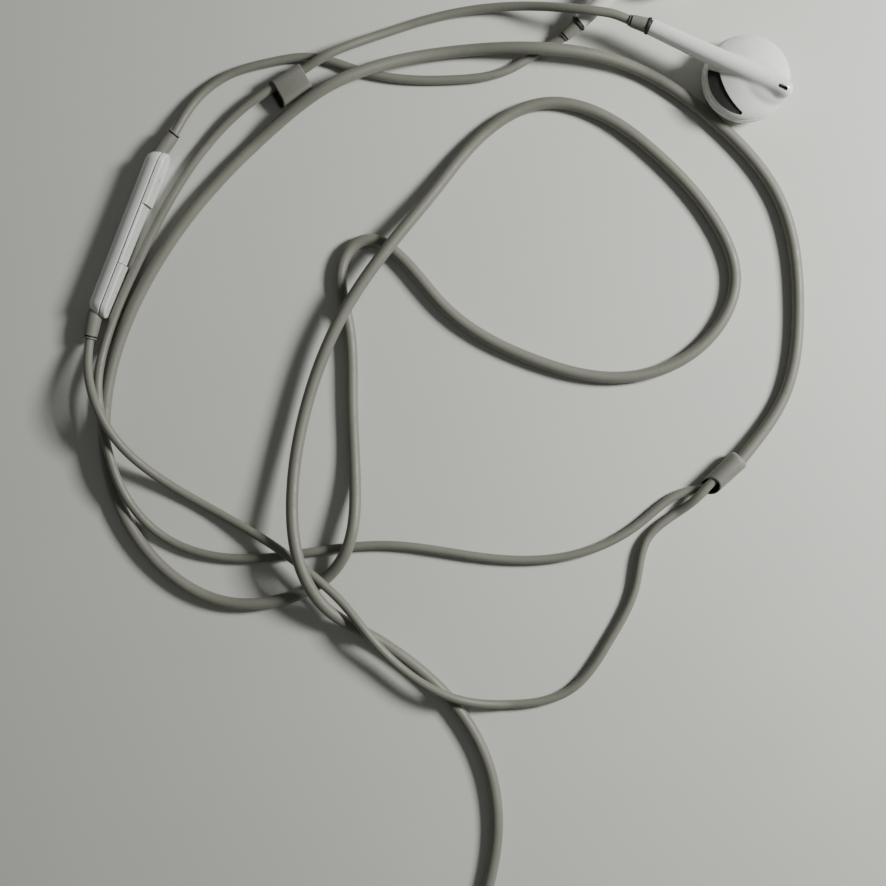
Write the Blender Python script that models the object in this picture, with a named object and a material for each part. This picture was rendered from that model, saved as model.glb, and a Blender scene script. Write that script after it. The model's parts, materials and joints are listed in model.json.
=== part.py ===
"""Wired earphones: two half-in-ear earpieces with stems, a remote, a cord slider, a Y-split and a plug.

Metres, +Z up. The object lies on the plane z = 0, and the origin is under the middle of the two earpieces.
Profiles of turned pieces are lists of (radius, height) in millimetres.
"""

import math

import bmesh
import bpy
import numpy as np
from mathutils import Matrix, Vector

MM = 0.001
OUTER_STEPS = 28
INNER_STEPS = 16
STEM_STEPS = 18
BORE_STEPS = 14

# Cord
MAIN_RADIUS = 1.15 * MM
BRANCH_RADIUS = 0.85 * MM
TABLE_GAP = 0.03 * MM
SPLINE_STEP = 0.5 * MM
BEND_WEIGHT = 0.02  # metres of length that one radian of bend counts for when a route is thinned

# Earpieces: each is modelled on its own axes, ear side down, with its stem along +X
STEM_AXIS_HEIGHT = 7.2 * MM
STEM_END = 20.1
COLLAR_START = 20.4 * MM
COLLAR_LENGTH = 3.9
VENT = Vector((-6.5, 0.33, 8.5)) * MM
VENT_SLOT = (1.7, 0.8, 2.4)
VENT_PLATE = (1.2, 0.35, 0.25)
DOME_FACE = [(7.9, 4.7), (7.85, 5.1), (7.3, 5.8), (6.3, 6.5), (4.5, 7.15), (2.2, 7.5), (0, 7.6)]
DOME = [(0, 3.9), (7.05, 3.9), (7.05, 4.7), *DOME_FACE]
PORT_RADIUS = 7.4  # outer edge of the crescent-shaped port in the dome's flank
PORT_AXIS = math.radians(47)
PORT_INNER_CENTRE, PORT_INNER_RADIUS = -6.9, 12.0
PORT_SIDE = 2.0  # the port's straight end, beside the stem
PORT_TIP = math.radians(106)
PORT_BOTTOM = 4.9
PORT_MESH_DEPTH, PORT_MESH_THICKNESS = 0.35, 0.3
LEFT_HEAD = Vector((13.35, -12.05, 0.17)) * MM
LEFT_HEADING, LEFT_TILT, LEFT_COLLAR_BEND = 154.2, 2.5, 7.8
RIGHT_HEAD = Vector((-1.3, 12.75, 1.25)) * MM
RIGHT_HEADING, RIGHT_TILT, RIGHT_COLLAR_BEND = 220.0, 15.4, 0.0

# Remote: it lies on its long side, modelled with its length on X and its keys facing +Z
REMOTE_SEAM = Vector((-101.94, -40.87, 2.53)) * MM
REMOTE_AXIS = Vector((0.3638, 0.9315, 0)).normalized()
REMOTE_HALF_LENGTH = 16.6
REMOTE_HALF_WIDTH = 2.5
REMOTE_DEPTH = 2.65
REMOTE_WALL = 0.7
BACK_ROUNDING, BACK_POWER = 2.3, 2.0
HOLLOW_ROUNDING, HOLLOW_POWER = 1.3, 2.5
KEY_BASE, KEY_TOP, PLAY_KEY_TOP = 0.25, 1.25, 0.75
KEY_SPANS = {"volume_up_key": (6.3, 16.6), "play_key": (-5.6, 6.0), "volume_down_key": (-16.6, -5.9)}
KEY_INSET, KEY_EDGE = 0.05, 0.15
KEY_STEM_RADIUS, KEY_STEM_FOOT = 0.6, -0.75
PLATE_BOTTOM, PLATE_TOP, PLATE_GAP = -0.45, -0.1, 0.12
SWITCH_RADIUS = 0.9
BOARD_TOP = -1.25
REMOTE_COLLARS = {"remote_collar_upper": (16.9, -0.5), "remote_collar_lower": (-16.9, -0.9)}
REMOTE_COLLAR_RADIUS, REMOTE_COLLAR_TIP = 1.35, 1.15
COLLAR_GAP = 0.3

# Y-split, cord slider, coil and plug
SPLIT_UPPER = Vector((12.55, -82.91, 2.2)) * MM
SPLIT_LOWER = Vector((6.90, -88.18, 2.2)) * MM
SPLIT_FLATNESS = 0.86  # the sleeve's width over its height
SLIDER_BACK = (-0.0758, -0.0133, 0.0020)
SLIDER_FRONT = (-0.0696, -0.0098, 0.0023)
SLIDER_LENGTH, SLIDER_WIDTH, SLIDER_THICKNESS, SLIDER_WALL = 6.8, 5.9, 3.1, 0.4
SLIDER_OFFSET = 1.6 * MM
COIL_CENTRE = Vector((-49.4, -183.05, 0)) * MM
COIL_RADIUS = 13.0
COIL_HALF_WIDTH = 1.3
COIL_BOTTOM, COIL_TOP, COIL_CORNER = 0.75, 8.05, 0.6
TIE_GAP, TIE_THICKNESS, TIE_WIDTH = 0.3, 0.35, 3.0
PLUG_START = Vector((-53.4, -207.1, 2.65)) * MM
PLUG_DIRECTION = Vector((-1, 0, 0))
PLUG_SHOULDER = 20.6
PIN_RADIUS, PIN_BORE, PIN_CORE = 1.75, 1.1, 0.9
PIN_SOCKET, PIN_ROOT = 1.9, 1.1  # the hole in the shoulder that the pin's core stands in
PIN_FLANGE, PIN_PLAY = 0.6, 0.06
PIN_CONTACTS = {"plug_sleeve_contact": 3.4, "plug_ring_2": 2.0, "plug_ring_1": 2.0}

# Routes of the cord's centre line, chosen by hand
MAIN_ROUTE = [
    (0.0131, -0.0827, 0.0022), (0.0209, -0.0715, 0.0012), (0.0237, -0.0540, 0.0012),
    (0.0201, -0.0339, 0.0012), (0.0076, -0.0189, 0.0012), (-0.0081, -0.0089, 0.0015),
    (-0.0241, -0.0062, 0.0035), (-0.0411, -0.0062, 0.0016), (-0.0567, -0.0098, 0.0035),
    (-0.0650, -0.0136, 0.0043), (-0.0702, -0.0168, 0.0033), (-0.0784, -0.0232, 0.0013),
    (-0.0865, -0.0313, 0.0012), (-0.0986, -0.0479, 0.0012), (-0.1067, -0.0691, 0.0012),
    (-0.1064, -0.0861, 0.0012), (-0.0973, -0.1027, 0.0012), (-0.0846, -0.1101, 0.0012),
    (-0.0733, -0.1095, 0.0012), (-0.0661, -0.1061, 0.0013), (-0.0613, -0.0997, 0.0035),
    (-0.0600, -0.0870, 0.0019), (-0.0606, -0.0719, 0.0012), (-0.0614, -0.0570, 0.0012),
    (-0.0625, -0.0468, 0.0012), (-0.0598, -0.0424, 0.0012), (-0.0563, -0.0417, 0.0012),
    (-0.0534, -0.0432, 0.0012), (-0.0432, -0.0542, 0.0012), (-0.0260, -0.0644, 0.0012),
    (-0.0090, -0.0676, 0.0012), (0.0058, -0.0613, 0.0012), (0.0118, -0.0492, 0.0012),
    (0.0080, -0.0381, 0.0012), (-0.0033, -0.0252, 0.0012), (-0.0137, -0.0179, 0.0012),
    (-0.0241, -0.0158, 0.0012), (-0.0355, -0.0214, 0.0012), (-0.0449, -0.0325, 0.0024),
    (-0.0537, -0.0436, 0.0041), (-0.0621, -0.0560, 0.0041), (-0.0694, -0.0748, 0.0034),
    (-0.0715, -0.0907, 0.0048), (-0.0697, -0.1032, 0.0061), (-0.0647, -0.1115, 0.0036),
    (-0.0579, -0.1160, 0.0016), (-0.0430, -0.1275, 0.0012), (-0.0356, -0.1390, 0.0012),
    (-0.0332, -0.1532, 0.0012), (-0.0349, -0.1638, 0.0012), (-0.0362, -0.1693, 0.0014),
    (-0.0364, -0.1740, 0.0017),
]
LEFT_ROUTE = [
    (0.0064, -0.0883, 0.0013), (0.0032, -0.0891, 0.0009), (-0.0061, -0.0952, 0.0009),
    (-0.0213, -0.1017, 0.0009), (-0.0364, -0.1016, 0.0009), (-0.0534, -0.0994, 0.0009),
    (-0.0686, -0.1007, 0.0009), (-0.0837, -0.1018, 0.0009), (-0.0969, -0.0973, 0.0011),
    (-0.1040, -0.0877, 0.0035), (-0.1070, -0.0772, 0.0036), (-0.1080, -0.0698, 0.0035),
    (-0.1073, -0.0625, 0.0022), (-0.1026, -0.0492, 0.0009), (-0.0951, -0.0341, 0.0009),
    (-0.0877, -0.0233, 0.0009), (-0.0811, -0.0169, 0.0016), SLIDER_BACK, SLIDER_FRONT,
    (-0.0668, -0.0082, 0.0030), (-0.0562, -0.0033, 0.0016), (-0.0421, 0.0011, 0.0010),
    (-0.0280, 0.0018, 0.0033), (-0.0148, -0.0003, 0.0066), (-0.0118, -0.0008, 0.0065),
    (-0.0093, -0.0017, 0.0063),
]
RIGHT_LOWER_ROUTE = [
    (0.0068, -0.0886, 0.0033), (0.0044, -0.0903, 0.0026), (0.0007, -0.0934, 0.0009),
    (-0.0046, -0.0980, 0.0009), (-0.0069, -0.1069, 0.0009), (-0.0118, -0.1173, 0.0009),
    (-0.0194, -0.1268, 0.0009), (-0.0307, -0.1295, 0.0009), (-0.0421, -0.1276, 0.0035),
    (-0.0526, -0.1210, 0.0036), (-0.0578, -0.1153, 0.0044), (-0.0621, -0.1101, 0.0038),
    (-0.0664, -0.1060, 0.0037), (-0.0732, -0.1007, 0.0030), (-0.0875, -0.0924, 0.0009),
    (-0.0981, -0.0857, 0.0024), (-0.1046, -0.0788, 0.0055), (-0.1078, -0.0726, 0.0060),
    (-0.1096, -0.0664, 0.0044), (-0.1098, -0.0605, 0.0025),
]
RIGHT_UPPER_ROUTE = [
    (-0.0938, -0.0217, 0.0025), (-0.0899, -0.0151, 0.0013), (-0.0837, -0.0103, 0.0009),
    (-0.0761, -0.0080, 0.0009), (-0.0678, -0.0071, 0.0009), (-0.0601, -0.0093, 0.0009),
    (-0.0515, -0.0111, 0.0009), (-0.0421, -0.0113, 0.0009), (-0.0307, -0.0093, 0.0009),
    (-0.0239, -0.0052, 0.0009), (-0.0209, -0.0037, 0.0017),
]
TAIL_ROUTE = [
    (-0.0368, -0.1925, 0.0061), (-0.0388, -0.1992, 0.0046), (-0.0434, -0.2045, 0.0034),
    (-0.0486, -0.2067, 0.0028), (-0.0534, -0.2071, 0.0026),
]


# Materials and meshes
def make_finish(name, colour, roughness, metallic=0.0):
    finish = bpy.data.materials.new(name)
    finish.use_nodes = True
    shader = finish.node_tree.nodes["Principled BSDF"]
    shader.inputs["Base Color"].default_value = (*colour, 1)
    shader.inputs["Roughness"].default_value = roughness
    shader.inputs["Metallic"].default_value = metallic
    return finish


def add_mesh(name, mesh, finish, place):
    """Turns a bmesh into a smooth-shaded object at a matrix. A cutter or helper has no finish."""
    bmesh.ops.recalc_face_normals(mesh, faces=mesh.faces)
    data = bpy.data.meshes.new(name)
    mesh.to_mesh(data)
    mesh.free()
    if finish:
        data.materials.append(finish)
    data.shade_smooth()
    data.set_sharp_from_angle(angle=math.radians(35))
    obj = bpy.data.objects.new(name, data)
    obj.matrix_world = place
    bpy.context.scene.collection.objects.link(obj)
    return obj


def turned(name, profile, finish, place, steps=INNER_STEPS):
    """Turns a profile about local Z: from axis to axis it makes a solid, and closed off the axis a ring."""
    mesh = bmesh.new()
    rings = []
    for radius, height in profile:
        ring = []
        for i in range(steps if radius else 1):
            angle = math.tau * i / steps
            point = Vector((radius * math.cos(angle), radius * math.sin(angle), height)) * MM
            ring.append(mesh.verts.new(point))
        rings.append(ring)
    for lower, upper in zip(rings, rings[1:] + rings[:1]):
        for i in range(steps):
            j = (i + 1) % steps
            corners = [lower[i % len(lower)], lower[j % len(lower)]]
            corners += [upper[j % len(upper)], upper[i % len(upper)]]
            corners = list(dict.fromkeys(corners))
            if len(corners) > 2:
                mesh.faces.new(corners)
    return add_mesh(name, mesh, finish, place)


def lofted(name, sections, finish, place):
    """Joins outlines of the same number of (x, y) points, each at its own height, into one closed solid."""
    mesh = bmesh.new()
    rings = []
    for outline, height in sections:
        rings.append([mesh.verts.new(Vector((x, y, height)) * MM) for x, y in outline])
    for lower, upper in zip(rings, rings[1:]):
        for i in range(len(lower)):
            j = (i + 1) % len(lower)
            mesh.faces.new((lower[i], lower[j], upper[j], upper[i]))
    mesh.faces.new(rings[0])
    mesh.faces.new(rings[-1])
    return add_mesh(name, mesh, finish, place)


def hollow_bar(name, outer, inner, length, finish, place):
    """A straight bar along local Z whose section is the space between two outlines of as many points."""
    mesh = bmesh.new()
    corners = []
    for outline in (outer, inner):
        for height in (-length / 2, length / 2):
            corners.append([mesh.verts.new(Vector((x, y, height)) * MM) for x, y in outline])
    outer_low, outer_high, inner_low, inner_high = corners
    for first, second in (
        (outer_low, outer_high),
        (outer_high, inner_high),
        (inner_high, inner_low),
        (inner_low, outer_low),
    ):
        for i in range(len(first)):
            j = (i + 1) % len(first)
            mesh.faces.new((first[i], first[j], second[j], second[i]))
    return add_mesh(name, mesh, finish, place)


def rectangle(half_x, half_y):
    return [(-half_x, -half_y), (half_x, -half_y), (half_x, half_y), (-half_x, half_y)]


def box(name, size, centre, finish, place):
    half_x, half_y, half_z = (side / 2 for side in size)
    outline = rectangle(half_x, half_y)
    at = place @ Matrix.Translation(Vector(centre) * MM)
    return lofted(name, [(outline, -half_z), (outline, half_z)], finish, at)


def combine(obj, other, operation):
    """Joins or cuts an object with another, which then stays as a hidden helper."""
    modifier = obj.modifiers.new(other.name, "BOOLEAN")
    modifier.operation = operation
    modifier.object = other
    other.hide_render = True
    other.display_type = "WIRE"


def facing(start, direction):
    """A place whose local Z points along a direction."""
    turn = Vector(direction).to_track_quat("Z", "Y").to_matrix().to_4x4()
    return Matrix.Translation(start) @ turn


def stadium(half_length, half_width, inset=0.0, arc_steps=8):
    """A slot-shaped outline about the origin, long along X."""
    radius = half_width - inset
    centre = half_length - half_width
    points = []
    for side in (1, -1):
        for i in range(arc_steps + 1):
            angle = math.pi * (i / arc_steps - 0.5)
            points.append((side * (centre + radius * math.cos(angle)), side * radius * math.sin(angle)))
    return points


# Cord
def smooth_route(points):
    """A natural cubic spline through hand-chosen points, read every half millimetre."""
    points = np.array(points, float)
    knots = np.concatenate([[0], np.cumsum(np.linalg.norm(np.diff(points, axis=0), axis=1))])
    gaps = np.diff(knots)
    count = len(knots)
    matrix = np.eye(count)
    right = np.zeros((count, 3))
    for i in range(1, count - 1):
        matrix[i, i - 1 : i + 2] = gaps[i - 1], 2 * (gaps[i - 1] + gaps[i]), gaps[i]
        right[i] = 6 * ((points[i + 1] - points[i]) / gaps[i] - (points[i] - points[i - 1]) / gaps[i - 1])
    bends = np.linalg.solve(matrix, right)
    along = np.append(np.arange(0, knots[-1], SPLINE_STEP), knots[-1])
    piece = np.clip(np.searchsorted(knots, along, side="right") - 1, 0, count - 2)
    gap = gaps[piece][:, None]
    before = (along - knots[piece])[:, None]
    after = (knots[piece + 1] - along)[:, None]
    cubic = (bends[piece] * after**3 + bends[piece + 1] * before**3) / (6 * gap)
    first = (points[piece] / gap - bends[piece] * gap / 6) * after
    last = (points[piece + 1] / gap - bends[piece + 1] * gap / 6) * before
    return cubic + first + last


def thinned(route, count):
    """Keeps a number of a fine route's points, closer together where it bends."""
    steps = np.diff(route, axis=0)
    weights = np.linalg.norm(steps, axis=1)
    headings = steps / weights[:, None]
    weights[1:] += BEND_WEIGHT * np.linalg.norm(np.diff(headings, axis=0), axis=1)
    along = np.concatenate([[0], np.cumsum(weights)])
    wanted = np.linspace(0, along[-1], count)
    return np.column_stack([np.interp(wanted, along, axis) for axis in route.T])


def cable(name, route, radius, count, finish):
    """A tube along a route, held just clear of the plane that it lies on."""
    smooth = smooth_route(route)
    smooth[:, 2] = np.maximum(smooth[:, 2], radius + TABLE_GAP)
    points = thinned(smooth, count)
    curve = bpy.data.curves.new(name, "CURVE")
    curve.dimensions = "3D"
    curve.bevel_depth = radius
    curve.bevel_resolution = 2
    curve.use_fill_caps = True
    spline = curve.splines.new("POLY")
    spline.points.add(len(points) - 1)
    for slot, point in zip(spline.points, points):
        slot.co = (*point, 1)
    curve.materials.append(finish)
    obj = bpy.data.objects.new(name, curve)
    bpy.context.scene.collection.objects.link(obj)
    return obj


def make_cables(finish):
    cable("main_cable", MAIN_ROUTE, MAIN_RADIUS, 84, finish)
    cable("left_branch_cable", LEFT_ROUTE, BRANCH_RADIUS, 62, finish)
    cable("right_branch_lower_cable", RIGHT_LOWER_ROUTE, BRANCH_RADIUS, 46, finish)
    cable("right_branch_upper_cable", RIGHT_UPPER_ROUTE, BRANCH_RADIUS, 22, finish)
    cable("plug_tail_cable", TAIL_ROUTE, MAIN_RADIUS, 8, finish)


def make_coil(cord_finish, tie_finish):
    """The rest of the main cable, as the outer shape of its two turns, and the tie round them."""
    inner, outer = COIL_RADIUS - COIL_HALF_WIDTH, COIL_RADIUS + COIL_HALF_WIDTH
    corner = COIL_CORNER
    section = [
        (inner + corner, COIL_BOTTOM),
        (outer - corner, COIL_BOTTOM),
        (outer, COIL_BOTTOM + corner),
        (outer, COIL_TOP - corner),
        (outer - corner, COIL_TOP),
        (inner + corner, COIL_TOP),
        (inner, COIL_TOP - corner),
        (inner, COIL_BOTTOM + corner),
    ]
    turned("cable_coil", section, cord_finish, Matrix.Translation(COIL_CENTRE), OUTER_STEPS)
    half_width = COIL_HALF_WIDTH + TIE_GAP
    half_height = (COIL_TOP - COIL_BOTTOM) / 2 + TIE_GAP
    hole = rectangle(half_width, half_height)
    rim = rectangle(half_width + TIE_THICKNESS, half_height + TIE_THICKNESS)
    middle = COIL_CENTRE + Vector((-COIL_RADIUS, 0, (COIL_TOP + COIL_BOTTOM) / 2)) * MM
    upright = Matrix.Translation(middle) @ Matrix.Rotation(math.pi / 2, 4, "X")
    hollow_bar("coil_tie", rim, hole, TIE_WIDTH, tie_finish, upright)


# Earpieces
def earpiece_place(head, heading, tilt):
    turn = Matrix.Rotation(math.radians(heading), 4, "Z")
    lean = Matrix.Rotation(math.radians(tilt), 4, "Y")
    return Matrix.Translation(head) @ turn @ lean


def port_rows(mirror, inset, count=12):
    """Pairs of (x, y) points on the port's inner and outer edges, from its straight end to its tip."""
    outer = PORT_RADIUS - inset
    inner = PORT_INNER_RADIUS + inset
    centre_x = PORT_INNER_CENTRE * math.cos(PORT_AXIS)
    centre_y = PORT_INNER_CENTRE * math.sin(PORT_AXIS)
    side = PORT_SIDE + inset
    tip_x = outer * math.cos(PORT_TIP - inset / outer)
    first = math.asin((side - centre_y) / inner)
    last = math.acos((tip_x - centre_x) / inner)
    rows = []
    for i in range(count + 1):
        share = i / count
        low = first + share * (last - first)
        high = math.asin(side / outer)
        high += share * (PORT_TIP - inset / outer - high)
        near = (centre_x + inner * math.cos(low), mirror * (centre_y + inner * math.sin(low)))
        far = (outer * math.cos(high), mirror * outer * math.sin(high))
        rows.append((near, far))
    return rows


def dome_height(radius):
    """Height of the dome's outer face at a distance from its axis."""
    radii, heights = zip(*reversed(DOME_FACE))
    return float(np.interp(radius, radii, heights))


def make_port_mesh(name, mirror, finish, place):
    """The dark mesh in the port: a thin plate that follows the dome, a little below its face."""
    mesh = bmesh.new()
    sheets = []
    for depth in (PORT_MESH_DEPTH, PORT_MESH_DEPTH + PORT_MESH_THICKNESS):
        sheet = []
        for near, far in port_rows(mirror, 0.25):
            row = []
            for share in (0, 0.35, 0.7, 1):
                x = near[0] + share * (far[0] - near[0])
                y = near[1] + share * (far[1] - near[1])
                height = dome_height(math.hypot(x, y)) - depth
                row.append(mesh.verts.new(Vector((x, y, height)) * MM))
            sheet.append(row)
        sheets.append(sheet)
        for row, after in zip(sheet, sheet[1:]):
            for i in range(len(row) - 1):
                mesh.faces.new((row[i], row[i + 1], after[i + 1], after[i]))
    top, bottom = (
        [row[0] for row in sheet] + sheet[-1][1:] + [row[-1] for row in sheet[-2::-1]] + sheet[0][-2:0:-1]
        for sheet in sheets
    )
    for i in range(len(top)):
        j = (i + 1) % len(top)
        mesh.faces.new((top[i], top[j], bottom[j], bottom[i]))
    add_mesh(name, mesh, finish, place)


def cut_port(shell, name, mirror, place):
    rows = port_rows(mirror, 0)
    outline = [near for near, far in rows] + [far for near, far in reversed(rows)]
    cutter = lofted(name, [(outline, PORT_BOTTOM), (outline, STEM_AXIS_HEIGHT / MM + 2)], None, place)
    combine(shell, cutter, "DIFFERENCE")


def make_shells(side, place, stem_place, vent, finishes):
    """The ear-side cap, and the rear shell with its hollow stem, its port and its vent slot."""
    cap = [
        (3.8, 0.0), (5.5, 0.25), (6.9, 0.95), (7.8, 2.0), (8.2, 3.3), (8.0, 4.4),
        (7.45, 4.4), (7.4, 3.3), (7.1, 2.4), (6.4, 1.5), (5.3, 0.95), (3.8, 0.7),
    ]
    turned(side + "front_cap", cap, finishes["gloss"], place, OUTER_STEPS)
    shell = turned(side + "rear_shell", DOME, finishes["gloss"], place, OUTER_STEPS)
    stem = [
        (0, -8.5), (0.8, -8.35), (1.4, -7.8), (1.75, -7.0), (1.75, 3.0),
        (1.5, STEM_END), (0, STEM_END),
    ]
    cavity = [(0, 3.6), (6.3, 3.6), (6.2, 4.8), (5.8, 5.2), (4.9, 5.8), (3.4, 6.35), (1.7, 6.7), (0, 6.8)]
    bore = [(0, -7.4), (0.95, -7.4), (0.95, STEM_END + 1), (0, STEM_END + 1)]
    combine(shell, turned(side + "stem_helper", stem, None, stem_place, STEM_STEPS), "UNION")
    combine(shell, turned(side + "cavity_cutter", cavity, None, place, OUTER_STEPS), "DIFFERENCE")
    combine(shell, turned(side + "bore_cutter", bore, None, stem_place, BORE_STEPS), "DIFFERENCE")
    combine(shell, box(side + "vent_cutter", VENT_SLOT, vent / MM, None, place), "DIFFERENCE")
    box(side + "vent_mesh", VENT_PLATE, vent / MM, finishes["mesh"], place)
    mirror = math.copysign(1, vent.y)
    cut_port(shell, side + "port_cutter", mirror, place)
    make_port_mesh(side + "port_mesh", mirror, finishes["mesh"], place)


def make_driver(side, place, finishes):
    """The loudspeaker in the head, from the grille in the sound opening up to the magnet's yoke."""
    pieces = (
        ("speaker_grille", "mesh", [(0, 0.15), (3.5, 0.15), (3.5, 0.45), (0, 0.45)]),
        ("diaphragm", "film", [(0, 1.75), (2.6, 1.55), (5.0, 1.6), (5.0, 1.8), (2.6, 1.85), (0, 2.0)]),
        ("voice_coil", "copper", [(2.55, 2.1), (2.9, 2.1), (2.9, 3.1), (2.55, 3.1)]),
        ("driver_frame", "dark", [(5.3, 1.5), (6.0, 1.5), (6.0, 3.4), (3.75, 3.4), (3.75, 2.9), (5.3, 2.9)]),
        ("pole_plate", "steel", [(0, 2.5), (2.25, 2.5), (2.25, 3.1), (0, 3.1)]),
        ("magnet", "nickel", [(0, 3.2), (2.2, 3.2), (2.2, 4.4), (0, 4.4)]),
        ("yoke_cup", "steel", [(3.1, 2.6), (3.6, 2.6), (3.6, 5.1), (0, 5.1), (0, 4.5), (3.1, 4.5)]),
    )
    for name, finish, profile in pieces:
        turned(side + name, profile, finishes[finish], place)


def make_earpiece(side, head, heading, tilt, collar_bend, finishes):
    place = earpiece_place(head, heading, tilt)
    along = Matrix.Rotation(math.pi / 2, 4, "Y")
    stem_place = place @ Matrix.Translation((0, 0, STEM_AXIS_HEIGHT)) @ along
    vent = Vector((VENT.x, -VENT.y if side == "right_" else VENT.y, VENT.z))
    make_shells(side, place, stem_place, vent, finishes)
    make_driver(side, place, finishes)
    lead = [(0, -1.0), (0.45, -1.0), (0.45, 20.0), (0, 20.0)]
    turned(side + "inner_lead", lead, finishes["copper"], stem_place, 10)
    collar = [
        (0, 0), (1.5, 0), (1.5, 0.55), (1.32, 0.65),
        (1.05, COLLAR_LENGTH), (0, COLLAR_LENGTH),
    ]
    bend = Matrix.Rotation(math.radians(collar_bend), 4, "Z")
    collar_place = place @ Matrix.Translation((COLLAR_START, 0, STEM_AXIS_HEIGHT)) @ bend @ along
    turned(side + "stem_collar", collar, finishes["grey"], collar_place)


# Remote
def back_sections(wall, top, rounding, power):
    """Outlines from the back of the shell, or of its hollow, up to a height at or over the seam."""
    depth = REMOTE_DEPTH - wall
    sections = []
    for share in (1, 0.95, 0.85, 0.65, 0.35):
        inset = wall + rounding * (1 - (1 - share**power) ** (1 / power))
        sections.append((stadium(REMOTE_HALF_LENGTH, REMOTE_HALF_WIDTH, inset), -share * depth))
    sections.append((stadium(REMOTE_HALF_LENGTH, REMOTE_HALF_WIDTH, wall), top))
    return sections


def key_outline(span, inset):
    """One stretch of the remote's slot-shaped front: round where it reaches an end, square elsewhere."""
    low, high = span
    points = []
    for x, y in stadium(REMOTE_HALF_LENGTH, REMOTE_HALF_WIDTH, inset, 10):
        points.append((min(max(x, low + inset), high - inset), y))
    return points


def make_key(name, top, finish, place):
    """A key with the short stem that presses its dome switch. Returns the place of the stem's axis."""
    span = KEY_SPANS[name]
    outline = key_outline(span, KEY_INSET)
    rounded = key_outline(span, KEY_INSET + KEY_EDGE)
    key = lofted(name, [(outline, KEY_BASE), (outline, top - KEY_EDGE), (rounded, top)], finish, place)
    stem_top = KEY_BASE + 0.2
    stem = [(0, KEY_STEM_FOOT), (KEY_STEM_RADIUS, KEY_STEM_FOOT), (KEY_STEM_RADIUS, stem_top), (0, stem_top)]
    at = place @ Matrix.Translation((sum(span) / 2 * MM, 0, 0))
    combine(key, turned(name + "_stem_helper", stem, None, at), "UNION")
    return at


def make_remote(finishes):
    up = Vector((0, 0, 1))
    front = REMOTE_AXIS.cross(up)
    place = Matrix.Translation(REMOTE_SEAM) @ Matrix((REMOTE_AXIS, up, front)).transposed().to_4x4()
    outside = back_sections(0, 0, BACK_ROUNDING, BACK_POWER)
    shell = lofted("remote_back_shell", outside, finishes["satin"], place)
    inside = back_sections(REMOTE_WALL, 1, HOLLOW_ROUNDING, HOLLOW_POWER)
    hollow = lofted("remote_hollow_cutter", inside, None, place)
    combine(shell, hollow, "DIFFERENCE")
    outline = stadium(REMOTE_HALF_LENGTH, REMOTE_HALF_WIDTH, REMOTE_WALL + PLATE_GAP)
    sections = [(outline, PLATE_BOTTOM), (outline, PLATE_TOP)]
    plate = lofted("remote_front_plate", sections, finishes["dark"], place)
    for i, name in enumerate(KEY_SPANS):
        top = PLAY_KEY_TOP if name == "play_key" else KEY_TOP
        at = make_key(name, top, finishes["gloss"], place)
        hole = [(0, -1), (SWITCH_RADIUS, -1), (SWITCH_RADIUS, 0.2), (0, 0.2)]
        combine(plate, turned(name + "_hole_cutter", hole, None, at), "DIFFERENCE")
        dome = [
            (0, BOARD_TOP + 0.05), (SWITCH_RADIUS, BOARD_TOP + 0.05),
            (0.6, BOARD_TOP + 0.2), (0, BOARD_TOP + 0.25),
        ]
        turned(f"dome_switch_{i + 1}", dome, finishes["steel"], at)
    box("remote_board", (26, 2.2, 0.5), (0, 0, BOARD_TOP - 0.25), finishes["board"], place)
    box("microphone", (1.8, 1.6, 0.55), (-5.2, 0, BOARD_TOP + 0.33), finishes["nickel"], place)
    ends = (RIGHT_UPPER_ROUTE[0], RIGHT_LOWER_ROUTE[-1])
    for (name, (along, depth)), cable_end in zip(REMOTE_COLLARS.items(), ends):
        start = place @ (Vector((along, 0, depth)) * MM)
        reach = Vector(cable_end) - start
        length = reach.length / MM - COLLAR_GAP
        collar = [
            (0, 0), (REMOTE_COLLAR_RADIUS, 0), (REMOTE_COLLAR_RADIUS, 0.4 * length),
            (REMOTE_COLLAR_TIP, length), (0, length),
        ]
        turned(name, collar, finishes["grey"], facing(start, reach))


# Pieces on the cord
def make_split(finish):
    length = (SPLIT_LOWER - SPLIT_UPPER).length / MM
    sleeve = [(0, 0), (1.8, 0), (2.1, 0.3), (2.1, length - 0.3), (1.8, length), (0, length)]
    flattened = facing(SPLIT_UPPER, SPLIT_LOWER - SPLIT_UPPER) @ Matrix.Diagonal((SPLIT_FLATNESS, 1, 1, 1))
    turned("y_split_sleeve", sleeve, finish, flattened)


def make_slider(finish):
    """The flat ring that both branches can run through: the left branch fills one end of its slot."""
    back, front = Vector(SLIDER_BACK), Vector(SLIDER_FRONT)
    axis = (front - back).normalized()
    across = Vector((0, 0, 1)).cross(axis).normalized()
    centre = (back + front) / 2 - SLIDER_OFFSET * across
    place = Matrix.Translation(centre) @ Matrix((across, axis.cross(across), axis)).transposed().to_4x4()
    outer = stadium(SLIDER_WIDTH / 2, SLIDER_THICKNESS / 2)
    inner = stadium(SLIDER_WIDTH / 2 - SLIDER_WALL, SLIDER_THICKNESS / 2 - SLIDER_WALL)
    hollow_bar("cable_slider", outer, inner, SLIDER_LENGTH, finish, place)


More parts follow.
